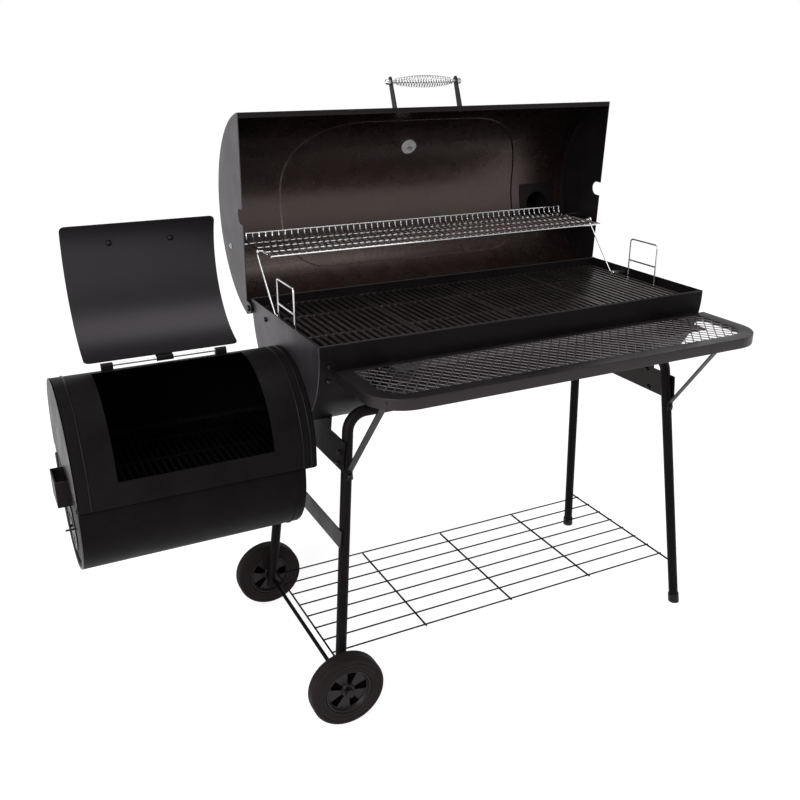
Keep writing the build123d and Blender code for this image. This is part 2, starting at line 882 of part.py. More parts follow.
for side, link_x in (("left", link_from_end), ("right", chamber_length - link_from_end - link_thickness)):
    with BuildPart() as rack_link:
        with BuildSketch(across(link_x)):
            with BuildLine():
                Line((link_pivot_y, link_pivot_z), (link_top_y, link_top_z))
            trace(line_width=link_thickness)
            with Locations((link_pivot_y, link_pivot_z), (link_top_y, link_top_z)):
                RegularPolygon(link_eye, wire_sides)
            with Locations((link_pivot_y, link_pivot_z)):
                Circle(link_bolt_radius + running, mode=Mode.SUBTRACT)
            with Locations((link_top_y, link_top_z)):
                Circle(rack_wire / 2 + gap, mode=Mode.SUBTRACT)
        extrude(amount=link_thickness)
    save(rack_link, f"rack_link_{side}")

with BuildPart() as link_pivot_studs:
    with BuildSketch(across(sheet)):
        with Locations((link_pivot_y, link_pivot_z)):
            RegularPolygon(2 * link_bolt_radius, bolt_sides)
    extrude(amount=link_from_end - gap - sheet)
    with BuildSketch(across(link_from_end - gap)):
        with Locations((link_pivot_y, link_pivot_z)):
            Circle(link_bolt_radius)
    extrude(amount=link_thickness + 2 * gap)
    with BuildSketch(across(link_end)):
        with Locations((link_pivot_y, link_pivot_z)):
            RegularPolygon(2 * link_bolt_radius, bolt_sides)
    extrude(amount=bolt_head_height)
    mirror(about=across(middle_x))
save(link_pivot_studs, "link_pivot_studs")

# Leg frames: bent tubes that splay outwards, on an axle at the left and feet at the right


def leg_plane(lean):
    """The leaning plane of a leg frame: across and up the legs from its top bar."""
    y = leg_inset if lean > 0 else chamber_depth - leg_inset
    return Plane(
        origin=at(frame_x, y, -leg_bar_drop), x_dir=(1, 0, 0), z_dir=(0, -1, lean * splay_y)
    )


def axle_hole():
    """The axle's hole through both left legs."""
    with BuildSketch(upright(axle_back + 2 * tube_radius)) as hole:
        with Locations((axle_x, -axle_drop)):
            RegularPolygon(axle_radius + running, wire_sides, major_radius=False)
    extrude(hole.sketch, amount=axle_back - axle_front + 4 * tube_radius, mode=Mode.SUBTRACT)


def wire_holes():
    """The lower shelf's holes through both legs of a frame."""
    with BuildSketch(upright(chamber_depth - wire_front + 2 * tube_radius)) as holes:
        with Locations((wire_left, -shelf_level_drop), (wire_right, -shelf_level_drop)):
            RegularPolygon(wire_shelf_wire / 2 + running, wire_sides)
    extrude(holes.sketch, amount=chamber_depth - 2 * wire_front + 4 * tube_radius, mode=Mode.SUBTRACT)


wire_left = leg_left - splay_x * (shelf_level_drop - leg_bar_drop)
wire_right = leg_right + splay_x * (shelf_level_drop - leg_bar_drop)
wire_front = leg_inset - splay_y * (shelf_level_drop - leg_bar_drop)
left_end = axle_drop - leg_bar_drop + leg_tail
right_end = rim_height - leg_bar_drop - cap_floor


def leg_bend_points(side):
    """The short steps of the bend between a leg and the top bar, from the bar to the leg."""
    turn = 90 - leg_splay_x
    reach = leg_bend * tan(radians(turn / 2))
    start = side * (leg_span / 2 - reach)
    steps = []
    for step in range(bend_steps + 1):
        angle = radians(turn * step / bend_steps)
        steps.append((start + side * leg_bend * sin(angle), -leg_bend * (1 - cos(angle))))
    return steps


def leg_points():
    """A leg frame's middle line: the left leg, the top bar and the right leg."""
    left_foot = (-leg_span / 2 - splay_x * left_end, -left_end * leg_lean)
    right_foot = (leg_span / 2 + splay_x * right_end, -right_end * leg_lean)
    left_bend = leg_bend_points(-1)
    return [left_foot, *left_bend[::-1], *leg_bend_points(1), right_foot]


for name, lean in (("front_leg_frame", 1), ("rear_leg_frame", -1)):
    with BuildPart() as leg_frame:
        with BuildLine(leg_plane(lean)) as leg_path:
            Polyline(*leg_points())
        with BuildSketch(Plane(origin=leg_path.line @ 0, z_dir=leg_path.line % 0)):
            RegularPolygon(tube_radius, tube_sides)
            RegularPolygon(tube_radius - tube_wall, tube_sides, mode=Mode.SUBTRACT)
        sweep(transition=Transition.RIGHT)
        axle_hole()
        wire_holes()
    save(leg_frame, name)

with BuildPart() as foot_caps:
    for lean in (1, -1):
        end_y = middle_y - lean * (middle_y - leg_inset + splay_y * right_end)
        tube_end = Plane(
            origin=at(leg_right + splay_x * right_end, end_y, -rim_height + cap_floor),
            z_dir=(-splay_x, lean * splay_y, 1),
        )
        with BuildSketch(tube_end.offset(-running)):
            RegularPolygon(cap_radius, tube_sides)
        extrude(amount=cap_height - cap_floor)
        with BuildSketch(tube_end.offset(-running)):
            RegularPolygon(tube_radius + running, tube_sides, major_radius=False)
        extrude(amount=cap_height, mode=Mode.SUBTRACT)
        with BuildSketch(tube_end.offset(-running)):
            RegularPolygon(cap_radius, tube_sides)
        extrude(amount=-3 * cap_floor)
    split(bisect_by=level(-rim_height), keep=Keep.TOP)
save(foot_caps, "foot_caps")

# Cradles: plates on the outer sides of the legs, hollowed to the barrel's round


def side_plane(side, offset):
    """The leaning plane of one side's legs, moved outwards: front to back and up the lean."""
    x = leg_left if side < 0 else leg_right
    way = (1 / side_lean, 0, side * splay_x / side_lean)
    origin = at(x, 0, -leg_bar_drop)
    shift = side * offset
    return Plane(
        origin=(origin[0] + way[0] * shift, origin[1], origin[2] + way[2] * shift),
        x_dir=(0, 1, 0),
        z_dir=way,
    )


def up_side(drop):
    """The height on a leaning side plane of a point below the rim."""
    return (leg_bar_drop - drop) * side_lean


def leg_line(drop):
    """How far behind the chamber's front a front leg stands at a height below the rim."""
    return leg_inset - splay_y * (drop - leg_bar_drop)


def side_plate(side):
    """The sketch plane for a plate that lies on the outer side of one side's legs."""
    offset = tube_radius + running if side > 0 else tube_radius + running + plate
    return side_plane(side, offset)


for side, name in ((-1, "cradle_left"), (1, "cradle_right")):
    with BuildPart() as cradle:
        with BuildSketch(side_plate(side)):
            wing = leg_line(cradle_bottom) - tube_radius
            step = middle_y - cradle_seat_half
            with BuildLine():
                Polyline(
                    (wing, up_side(cradle_bottom)),
                    (wing, up_side(cradle_wing_top)),
                    (step, up_side(cradle_wing_top)),
                    (step, up_side(leg_bar_drop)),
                    (chamber_depth - step, up_side(leg_bar_drop)),
                    (chamber_depth - step, up_side(cradle_wing_top)),
                    (chamber_depth - wing, up_side(cradle_wing_top)),
                    (chamber_depth - wing, up_side(cradle_bottom)),
                    close=True,
                )
            make_face()
        extrude(amount=plate)
        with BuildSketch(across(0)):
            barrel(0)
        extrude(amount=chamber_length, mode=Mode.SUBTRACT)
    save(cradle, name)

with BuildPart() as lower_brace:
    with BuildSketch(side_plate(-1)):
        brace_end = leg_line(brace_top + brace_height) - tube_radius
        with Locations((middle_y, up_side(brace_top + brace_height / 2))):
            Rectangle(chamber_depth - 2 * brace_end, brace_height)
    extrude(amount=plate)
save(lower_brace, "lower_brace")

# Axle and wheels

with BuildPart() as axle:
    with BuildSketch(upright(middle_y + axle_half)):
        with Locations((axle_x, -axle_drop)):
            Circle(axle_radius)
    extrude(amount=2 * axle_half)
save(axle, "axle")

with BuildPart() as axle_caps:
    for y in (middle_y + axle_half + axle_cap_height, middle_y - axle_half):
        with BuildSketch(upright(y)):
            with Locations((axle_x, -axle_drop)):
                RegularPolygon(axle_cap_radius, tube_sides)
        extrude(amount=axle_cap_height)
save(axle_caps, "axle_caps")

hub_radius = wheel_radius - tyre_depth
window_slope = tan(radians(window_half_angle))
window_outer = (hub_radius - hub_rim) * cos(radians(window_half_angle))

for end, wheel_y in (("front", wheel_front_y), ("rear", wheel_back_y)):
    wheel_plane = Plane(origin=at(axle_x, wheel_y, -axle_drop))
    wheel_axis = Axis(wheel_plane.origin, (0, 1, 0))
    with BuildPart() as tyre:
        with BuildSketch(wheel_plane):
            with Locations((hub_radius + (tyre_depth + running) / 2, 0)):
                Rectangle(tyre_depth - running, wheel_width)
            chamfer(vertices().group_by(Axis.X)[-1], tyre_round)
        revolve(axis=wheel_axis)
    save(tyre, f"tyre_{end}")
    with BuildPart() as hub:
        with BuildSketch(upright(wheel_y + wheel_width / 2 - hub_wall)):
            with Locations((axle_x, -axle_drop)):
                RegularPolygon(hub_radius, hub_sides)
                RegularPolygon(hub_radius - hub_rim, hub_sides, mode=Mode.SUBTRACT)
        extrude(amount=wheel_width - 2 * hub_wall)
        with BuildSketch(upright(wheel_y + hub_web / 2)):
            with Locations((axle_x, -axle_drop)):
                RegularPolygon(hub_radius - hub_rim / 2, hub_sides)
                with PolarLocations(0, hub_windows, start_angle=90 - hub_turn):
                    Polygon(
                        (window_inner, window_inner * window_slope),
                        (window_outer, window_outer * window_slope),
                        (window_outer, -window_outer * window_slope),
                        (window_inner, -window_inner * window_slope),
                        align=None,
                        mode=Mode.SUBTRACT,
                    )
        extrude(amount=hub_web)
        with BuildSketch(upright(wheel_y + wheel_width / 2)):
            with Locations((axle_x, -axle_drop)):
                RegularPolygon(hub_boss_radius, hub_sides // 2)
        extrude(amount=wheel_width)
        with BuildSketch(upright(wheel_y + wheel_width)):
            with Locations((axle_x, -axle_drop)):
                Circle(axle_radius + running)
        extrude(amount=2 * wheel_width, mode=Mode.SUBTRACT)
    save(hub, f"wheel_hub_{end}")

# Lower wire shelf: its end wires reach into the legs

with BuildPart() as wire_shelf:
    with BuildSketch(level(-shelf_level_drop - wire_shelf_wire / 2)):
        wire_span = wire_right - wire_left
        run_pitch = (chamber_depth - 2 * wire_shelf_inset) / (wire_shelf_runs - 1)
        tie_pitch = wire_span / (wire_shelf_ties - 1)
        with Locations(((wire_left + wire_right) / 2, middle_y)):
            with GridLocations(1, run_pitch, 1, wire_shelf_runs):
                Rectangle(wire_span, wire_shelf_wire)
            with GridLocations(tie_pitch, 1, wire_shelf_ties, 1):
                Rectangle(wire_shelf_wire, chamber_depth - 2 * wire_shelf_inset)
    extrude(amount=wire_shelf_wire)
    with BuildSketch(upright(chamber_depth - wire_front)):
        with Locations((wire_left, -shelf_level_drop), (wire_right, -shelf_level_drop)):
            RegularPolygon(wire_shelf_wire / 2, wire_sides)
    extrude(amount=chamber_depth - 2 * wire_front)
save(wire_shelf, "wire_shelf")

# Front shelf: an expanded mesh under a pressed border, on brackets and struts

shelf_length = chamber_length + shelf_past_end - shelf_left
shelf_mid_x = shelf_left + shelf_length / 2
mesh_mid_y = -shelf_gap - (shelf_depth + shelf_back_border - shelf_border) / 2


def shelf_outline(inset, back_inset, mode=Mode.ADD):
    """The shelf's outline with its two round front corners, drawn inside its edge."""
    start = shelf_left + inset
    end = shelf_left + shelf_length - inset
    back = -shelf_gap - back_inset
    nose = -shelf_gap - shelf_depth + inset
    with BuildLine() as outline:
        FilletPolyline(
            (start, back), (start, nose), (end, nose), (end, back), radius=shelf_corner - inset
        )
        Line((end, back), (start, back))
    make_face(outline.edges(), mode=mode)


with BuildPart() as shelf_frame:
    with BuildSketch(level(-shelf_drop - shelf_apron)):
        shelf_outline(0, 0)
        shelf_outline(sheet, sheet, Mode.SUBTRACT)
    extrude(amount=shelf_apron)
    with BuildSketch(level(-shelf_drop - sheet)):
        shelf_outline(0, 0)
        shelf_outline(shelf_border, shelf_back_border, Mode.SUBTRACT)
    extrude(amount=sheet)
save(shelf_frame, "shelf_frame")

with BuildPart() as shelf_mesh:
    with BuildSketch(mode=Mode.PRIVATE) as mesh_holes:
        columns = int((shelf_length - 2 * shelf_border) / mesh_cell_x) - 1
        rows = int((shelf_depth - shelf_border - shelf_back_border) / mesh_cell_y)
        hole_x = mesh_cell_x / 2 - mesh_strand / 2
        hole_y = hole_x * mesh_cell_y / mesh_cell_x
        for columns_here, rows_here in ((columns, rows), (columns + 1, rows - 1)):
            with GridLocations(mesh_cell_x, mesh_cell_y, columns_here, rows_here):
                Polygon((hole_x, 0), (0, hole_y), (-hole_x, 0), (0, -hole_y))
    with BuildSketch(level(-shelf_drop - sheet - mesh_thickness)):
        shelf_outline(sheet, sheet)
        with Locations((shelf_mid_x, mesh_mid_y)):
            add(mesh_holes.sketch, mode=Mode.SUBTRACT)
    extrude(amount=mesh_thickness)
save(shelf_mesh, "shelf_mesh")

with BuildPart() as shelf_brackets:
    for side in (-1, 1):
        with BuildSketch(across(shelf_mid_x + side * bracket_spacing / 2 - bracket_width / 2)):
            under = -shelf_drop - sheet - mesh_thickness
            with BuildLine():
                Polyline(
                    (middle_y, under),
                    (-shelf_gap - shelf_depth / 2, under),
                    (-shelf_gap - shelf_depth / 2, under - sheet),
                    (0, -bracket_drop),
                    (middle_y, -bracket_drop),
                    close=True,
                )
            make_face()
            barrel(0, Mode.SUBTRACT)
            with Locations((-shelf_gap - sheet / 2, under)):
                Rectangle(sheet + 2 * gap, 2 * shelf_apron, mode=Mode.SUBTRACT)
        extrude(amount=bracket_width)
save(shelf_brackets, "shelf_brackets")

strut_top = -shelf_drop - sheet - mesh_thickness - plate / 2
strut_out = (tube_radius + plate / 2 + running) * leg_lean
strut_splay = splay_x * (strut_foot_drop - leg_bar_drop)

with BuildPart() as shelf_struts:
    for strut_x in (leg_left - strut_splay, leg_right + strut_splay):
        with BuildSketch(across(strut_x - strut_width / 2)):
            low = strut_foot_drop + strut_foot
            with BuildLine():
                FilletPolyline(
                    (leg_line(low) - strut_out, -low),
                    (leg_line(strut_foot_drop) - strut_out, -strut_foot_drop),
                    (-strut_end_back, strut_top),
                    (-strut_end_back - strut_foot, strut_top),
                    radius=strut_bend,
                )
            trace(line_width=plate)
        extrude(amount=strut_width)
save(shelf_struts, "shelf_struts")

# Firebox: a half-round hood with a door opening, on the chamber's left end

door_low = 180 - door_bottom_angle
door_high = 180 - door_top_angle
mouth_high = 180 - mouth_top_angle
mouth_low = 180 - mouth_bottom_angle


def ring_sector(centre, inner, outer, start, sweep_angle, mode=Mode.ADD):
    """A curved plate's section between two radii and two angles."""
    first = (cos(radians(start)), sin(radians(start)))
    last = (cos(radians(start + sweep_angle)), sin(radians(start + sweep_angle)))
    with BuildLine() as outline:
        CenterArc(centre, outer, start, sweep_angle)
        CenterArc(centre, inner, start, sweep_angle)
        for way in (first, last):
            Line(
                (centre[0] + inner * way[0], centre[1] + inner * way[1]),
                (centre[0] + outer * way[0], centre[1] + outer * way[1]),
            )
    make_face(outline.edges(), mode=mode)


with BuildPart() as firebox_shell:
    with BuildSketch(across(-firebox_length + sheet)):
        hood(0, -firebox_seam_drop)
        hood(sheet, ledge_top, Mode.SUBTRACT)
        with Locations((firebox_centre_y, ledge_top)):
            Rectangle(2 * (firebox_radius - sheet - firebox_ledge), 4 * sheet, mode=Mode.SUBTRACT)
    extrude(amount=firebox_length - 2 * sheet)
    with BuildSketch(across(-door_centre - door_width / 2 + door_lap)):
        ring_sector(
            (firebox_centre_y, firebox_centre_z),
            firebox_radius - 2 * sheet,
            firebox_radius + sheet,
            mouth_high,
            mouth_low - mouth_high,
        )
    extrude(amount=door_width - 2 * door_lap, mode=Mode.SUBTRACT)
save(firebox_shell, "firebox_shell")

with BuildPart() as firebox_left_end:
    with BuildSketch(across(-firebox_length)):
        hood(0, end_bottom)
    extrude(amount=sheet)
save(firebox_left_end, "firebox_left_end")

with BuildPart() as firebox_right_end:
    with BuildSketch(across(-sheet)):
        hood(0, -firebox_seam_drop)
        smoke_port()
    extrude(amount=sheet)
save(firebox_right_end, "firebox_right_end")

with BuildPart() as door_hinge_tabs:
    for end in (-1, 1):
        tab_x = -door_centre + end * (door_rod_length - tab_width) / 2
        with BuildSketch(across(tab_x - tab_width / 2)):
            with Locations((door_hinge_y, door_hinge_z)):
                Circle(knuckle_radius)
                with Locations((0, -door_hinge_rise)):
                    Rectangle(2 * knuckle_radius, 2 * door_hinge_rise)
            with Locations((firebox_centre_y, firebox_centre_z)):
                Circle(firebox_radius, mode=Mode.SUBTRACT)
        extrude(amount=tab_width)
save(door_hinge_tabs, "door_hinge_tabs")

with BuildPart() as door_hinge_rod:
    rod_span = door_rod_length - 2 * tab_width
    with BuildSketch(across(-door_centre - rod_span / 2)):
        with Locations((door_hinge_y, door_hinge_z)):
            Circle(door_rod_radius)
    extrude(amount=rod_span)
save(door_hinge_rod, "door_hinge_rod")

# Firebox door: a curved plate with a knuckle on the rod and a handle on its outer face

door_axis = (firebox_centre_y - door_hinge_y, firebox_centre_z - door_hinge_z)

with BuildPart() as firebox_door:
    with BuildSketch(door_across(-door_centre - door_width / 2)):
        ring_sector(door_axis, door_inner, door_outer, door_high, door_low - door_high)
    extrude(amount=door_width)
    fillet(edges().filter_by(lambda edge: abs(edge.length - sheet) < sheet / 100), radius=door_corner)
    with BuildSketch(door_across(-door_centre - knuckle_width / 2)):
        crown = (door_axis[0], door_axis[1] + door_outer)
        with BuildLine():
            Polyline(
                (0, sheet),
                (crown[0], crown[1]),
                (crown[0], crown[1] - sheet),
                (0, -sheet),
                close=True,
            )
        make_face()
        Circle(knuckle_radius)
        with Locations(door_axis):
            Circle(door_inner, mode=Mode.SUBTRACT)
        Circle(door_rod_radius + running, mode=Mode.SUBTRACT)
    extrude(amount=knuckle_width)
save(firebox_door, "firebox_door")


def door_handle_base(offset):
    """The foot of a door handle strap."""
    return door_radial(-door_centre + offset, door_handle_angle, door_outer)


door_grip_plane = door_radial(
    -door_centre, door_handle_angle, door_outer + door_handle_reach - handle_rod_inset
)
door_grip_centre = tuple(door_grip_plane.origin)
door_rod_span = door_handle_spacing - strap_thickness

with BuildPart() as door_handle_straps:
    strap_pair(door_handle_base, door_handle_spacing, door_handle_reach)
save(door_handle_straps, "door_handle_straps")

with BuildPart() as door_handle_rod:
    rod_start = (door_grip_centre[0] - door_rod_span / 2, door_grip_centre[1], door_grip_centre[2])
    rod_with_nuts(rod_start, door_rod_span, handle_rod_radius, handle_nut_radius, handle_nut_length)
save(door_handle_rod, "door_handle_rod")

with BuildPart() as door_handle_grip:
    barrel_grip(door_grip_centre, door_grip_length, handle_rod_radius + running)
save(door_handle_grip, "door_handle_grip")

# Ash drawer: the firebox's lower half, whose flanges slide on the hood's ledges

drawer_length = drawer_right - drawer_left
drawer_inner = drawer_radius - sheet

with BuildPart() as ash_drawer:
    with BuildSketch(across(drawer_left)):
        trough(firebox_centre_y, drawer_centre_z, drawer_radius, flange_top)
        with Locations((firebox_centre_y, flange_bottom + sheet / 2)):
            Rectangle(2 * (drawer_radius + drawer_flange), sheet)
        trough(firebox_centre_y, drawer_centre_z, drawer_inner, flange_top, Mode.SUBTRACT)
    extrude(amount=drawer_length)
    for end_x in (drawer_left, drawer_right - sheet):
        with BuildSketch(across(end_x)):
            trough(firebox_centre_y, drawer_centre_z, drawer_radius, flange_top)
        extrude(amount=sheet)
    with BuildSketch(across(drawer_left)):
        with Locations((firebox_centre_y, -air_damper_drop)):
            with PolarLocations(air_vent_circle, air_vents):
                Rectangle(air_vent_width, air_vent_width)
    extrude(amount=sheet, mode=Mode.SUBTRACT)
    with BuildSketch(across(drawer_left - air_pin_length)):
        with Locations((firebox_centre_y, -air_damper_drop)):
            Circle(air_pin_radius)
    extrude(amount=air_pin_length)
save(ash_drawer, "ash_drawer")

with BuildPart() as drawer_handle:
    with BuildSketch(level(-drawer_handle_drop - drawer_handle_height / 2)):
        with Locations((drawer_left - drawer_handle_reach / 2, firebox_centre_y)):
            Rectangle(drawer_handle_reach, drawer_handle_width)
        with Locations((drawer_left - (drawer_handle_reach - plate) / 2, firebox_centre_y)):
            Rectangle(drawer_handle_reach - plate, drawer_handle_width - 2 * plate, mode=Mode.SUBTRACT)
    extrude(amount=drawer_handle_height)
save(drawer_handle, "drawer_handle")

with BuildPart() as firebox_grate:
    with BuildSketch(level(flange_top)):
        with Locations(((drawer_left + drawer_right) / 2, firebox_centre_y)):
            bar_grid(
                drawer_length - 2 * grate_edge,
                2 * (drawer_radius + drawer_flange - sheet),
                firebox_grate_pitch,
                firebox_grate_bar,
                grate_edge,
                firebox_grate_cross,
            )
    extrude(amount=firebox_grate_height)
save(firebox_grate, "firebox_grate")

with BuildPart() as air_damper:
    with BuildSketch(across(drawer_left - gap - sheet)):
        with Locations((firebox_centre_y, -air_damper_drop)):
            Circle(air_damper_radius)
            with PolarLocations(air_vent_circle, air_vents, start_angle=air_rest_angle):
                Rectangle(air_vent_width, air_vent_width, mode=Mode.SUBTRACT)
            Circle(air_pin_radius + running, mode=Mode.SUBTRACT)
    extrude(amount=sheet)
    with BuildSketch(across(drawer_left - gap - sheet - air_tab_reach)):
        with Locations((firebox_centre_y, -air_damper_drop)):
            with PolarLocations(air_damper_radius - air_tab_inset, 1, start_angle=air_tab_angle):
                Rectangle(strap_width / 2, strap_thickness)
    extrude(amount=air_tab_reach)
save(air_damper, "air_damper")
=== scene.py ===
"""Offset smoker with its lid, rack and firebox door open: finishes, wire work and fittings."""

import math

import bmesh
import bpy
from mathutils import Matrix, Vector


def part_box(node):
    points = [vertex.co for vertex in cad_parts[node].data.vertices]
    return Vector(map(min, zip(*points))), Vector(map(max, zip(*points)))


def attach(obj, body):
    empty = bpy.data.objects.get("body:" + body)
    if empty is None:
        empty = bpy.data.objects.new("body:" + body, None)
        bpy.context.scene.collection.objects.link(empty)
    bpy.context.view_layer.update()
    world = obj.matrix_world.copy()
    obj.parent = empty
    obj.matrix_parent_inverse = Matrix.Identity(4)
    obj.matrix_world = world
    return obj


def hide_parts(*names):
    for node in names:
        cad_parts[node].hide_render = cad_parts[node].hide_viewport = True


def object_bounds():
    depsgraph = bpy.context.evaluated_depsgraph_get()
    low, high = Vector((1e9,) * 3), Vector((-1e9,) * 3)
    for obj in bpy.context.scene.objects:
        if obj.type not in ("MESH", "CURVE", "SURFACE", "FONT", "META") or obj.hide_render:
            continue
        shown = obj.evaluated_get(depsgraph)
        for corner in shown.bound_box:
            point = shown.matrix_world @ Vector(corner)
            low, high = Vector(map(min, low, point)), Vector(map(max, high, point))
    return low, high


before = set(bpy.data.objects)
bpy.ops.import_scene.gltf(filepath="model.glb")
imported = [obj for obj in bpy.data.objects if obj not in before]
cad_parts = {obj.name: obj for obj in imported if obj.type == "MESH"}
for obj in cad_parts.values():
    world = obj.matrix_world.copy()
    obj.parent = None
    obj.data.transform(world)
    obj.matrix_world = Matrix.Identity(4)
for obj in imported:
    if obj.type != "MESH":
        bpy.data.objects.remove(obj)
cad_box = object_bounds()

# Places are in millimetres from the chamber's left end, front wall and rim
MM = 0.001
CHAMBER_LOW, CHAMBER_HIGH = (Vector(corner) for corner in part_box("chamber_shell"))
DATUM = Vector((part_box("chamber_left_end")[0].x, CHAMBER_LOW.y, CHAMBER_HIGH.z))
GROUND = cad_box[0][2]


def at(x, y, z):
    """A place in millimetres as a place in the frame."""
    return DATUM + Vector((x, y, z)) * MM


NOISE_ROUGHNESS = 0.55


class Value:
    """A shader value; sums and products of such values add their own Math nodes."""

    def __init__(self, paint, socket):
        self.paint = paint
        self.socket = socket

    def maths(self, operation, first, second):
        return self.paint.node("ShaderNodeMath", {"operation": operation}, {0: first, 1: second})

    def __add__(self, other):
        return self.maths("ADD", self, other)

    def __radd__(self, other):
        return self.maths("ADD", other, self)

    def __sub__(self, other):
        return self.maths("SUBTRACT", self, other)

    def __rsub__(self, other):
        return self.maths("SUBTRACT", other, self)

    def __mul__(self, other):
        return self.maths("MULTIPLY", self, other)

    def __rmul__(self, other):
        return self.maths("MULTIPLY", other, self)

    def __abs__(self):
        return self.maths("ABSOLUTE", self, 0.0)

    def root(self):
        return self.maths("SQRT", self, 0.0)

    def at_least(self, other):
        return self.maths("MAXIMUM", self, other)

    def at_most(self, other):
        return self.maths("MINIMUM", self, other)


class Paint:
    """One finish, made of nodes on the piece's own coordinates."""

    def __init__(self, name):
        self.material = bpy.data.materials.new(name)
        self.material.use_nodes = True
        self.tree = self.material.node_tree
        self.shader = self.tree.nodes["Principled BSDF"]

    def set(self, sockets):
        """Feed the shader's sockets with numbers, colours or values."""
        self.feed(self.shader, sockets)
        return self

    def feed(self, node, sockets):
        for name, value in sockets.items():
            if isinstance(value, Value):
                self.tree.links.new(value.socket, node.inputs[name])
            else:
                node.inputs[name].default_value = value

    def node(self, kind, settings, sockets, output=0):
        """A node of one kind: its settings first, then its sockets."""
        made = self.tree.nodes.new(kind)
        for name, value in settings.items():
            setattr(made, name, value)
        self.feed(made, sockets)
        return Value(self, made.outputs[output])

    def place(self):
        return self.node("ShaderNodeTexCoord", {}, {}, "Object")

    def from_point(self, point):
        """How far along x, y and z a place lies from a point."""
        split = [self.node("ShaderNodeSeparateXYZ", {}, {0: self.place()}, axis) for axis in range(3)]
        return [value - offset for value, offset in zip(split, point)]

    def noise(self, scale, detail=3.0):
        sockets = {"Vector": self.place(), "Scale": scale, "Detail": detail, "Roughness": NOISE_ROUGHNESS}
        return self.node("ShaderNodeTexNoise", {}, sockets)

    def fade(self, value, low, high, start=0.0, end=1.0):
        """A value carried from one range to another, held at both ends."""
        sockets = {"Value": value, "From Min": low, "From Max": high, "To Min": start, "To Max": end}
        return self.node("ShaderNodeMapRange", {"clamp": True}, sockets)

    def mix(self, factor, first, second):
        """A colour between two colours."""
        return self.node("ShaderNodeMix", {"data_type": "RGBA"}, {0: factor, 6: first, 7: second}, 2)

    def blend(self, factor, sockets):
        """Lay a second shader over the first one where the factor is 1."""
        second = self.tree.nodes.new("ShaderNodeBsdfPrincipled")
        self.feed(second, sockets)
        both = self.tree.nodes.new("ShaderNodeMixShader")
        under, over = (Value(self, shader.outputs[0]) for shader in (self.shader, second))
        self.feed(both, {0: factor, 1: under, 2: over})
        self.tree.links.new(both.outputs[0], self.tree.nodes["Material Output"].inputs["Surface"])

    def bump(self, height, strength, distance):
        sockets = {"Height": height, "Strength": strength, "Distance": distance}
        return self.node("ShaderNodeBump", {}, sockets)


def rgb(red, green, blue):
    return (red, green, blue, 1.0)


# The tints of the paints' shine, and the scale and detail of their mottle and grain

PAINT_TINT = rgb(1.0, 0.86, 0.93)
DOOR_TINT = rgb(1.0, 0.91, 1.0)
LEG_TINT = rgb(1.0, 0.78, 0.76)
CLOUD = (7.0, 4.0)
GRAIN = (900.0, 2.0)
GRAIN_DEPTH = 0.0004


def satin_paint(name, shades, rough, gloss, peel=0.10, tint=PAINT_TINT):
    """Heat-proof satin paint: a soft mottle, a dusty bloom and a fine orange peel."""
    paint = Paint(name)
    cloud = paint.noise(*CLOUD)
    dust = paint.noise(55.0)
    grain = paint.noise(*GRAIN)
    mottle = paint.fade(cloud, 0.35, 0.68) * 0.7 + paint.fade(dust, 0.45, 0.75) * 0.3
    roughness = paint.fade(paint.noise(16.0), 0.3, 0.7, *rough)
    bump = paint.bump(grain, peel, GRAIN_DEPTH)
    paint.set({"Base Color": paint.mix(mottle, *shades), "Roughness": roughness, "Normal": bump})
    paint.set({"Specular IOR Level": gloss, "Specular Tint": tint})
    return paint


def bright_metal(name, shades, rough):
    """Plated metal, a little cloudy, with drawing marks too fine to see singly."""
    paint = Paint(name)
    cloud = paint.noise(40.0)
    streak = paint.noise(700.0, 2.0)
    roughness = paint.fade(streak, 0.3, 0.7, *rough)
    paint.set({"Base Color": paint.mix(cloud, *shades), "Roughness": roughness, "Metallic": 1.0})
    return paint.material


# Each finish has a dark and a pale shade

BLACKS = (rgb(0.0042, 0.0036, 0.0038), rgb(0.0085, 0.0074, 0.0078))
# Near-black for painted shade: inside the firebox, on its grate and in the gaps around it
SHADE_BLACKS = (rgb(0.0012, 0.0010, 0.0010), rgb(0.0022, 0.0020, 0.0020))
# The left-facing end panels get a lighter, violet black: painted light for the light those panels catch
LIT_SIDE_SHADES = (rgb(0.009, 0.0083, 0.0092), rgb(0.015, 0.0138, 0.0152))
SHELF_SHADES = (rgb(0.0064, 0.0054, 0.0056), rgb(0.0108, 0.0092, 0.0096))
# The mesh's black is much lighter than the paint's: painted light for the light its strands catch
MESH_LIT_SHADES = (rgb(0.028, 0.0255, 0.0263), rgb(0.046, 0.0420, 0.0433))
CHROME_SHADES = (rgb(0.68, 0.68, 0.69), rgb(0.86, 0.86, 0.87))
DARK_ZINC_SHADES = (rgb(0.012, 0.011, 0.012), rgb(0.03, 0.029, 0.03))
ZINC_SHADES = (rgb(0.42, 0.43, 0.44), rgb(0.58, 0.58, 0.60))
PLASTIC_SHADES = (rgb(0.007, 0.006, 0.0055), rgb(0.012, 0.0105, 0.0098))
TYRE_SHADES = (rgb(0.0098, 0.0072, 0.0066), rgb(0.0160, 0.0120, 0.0110))

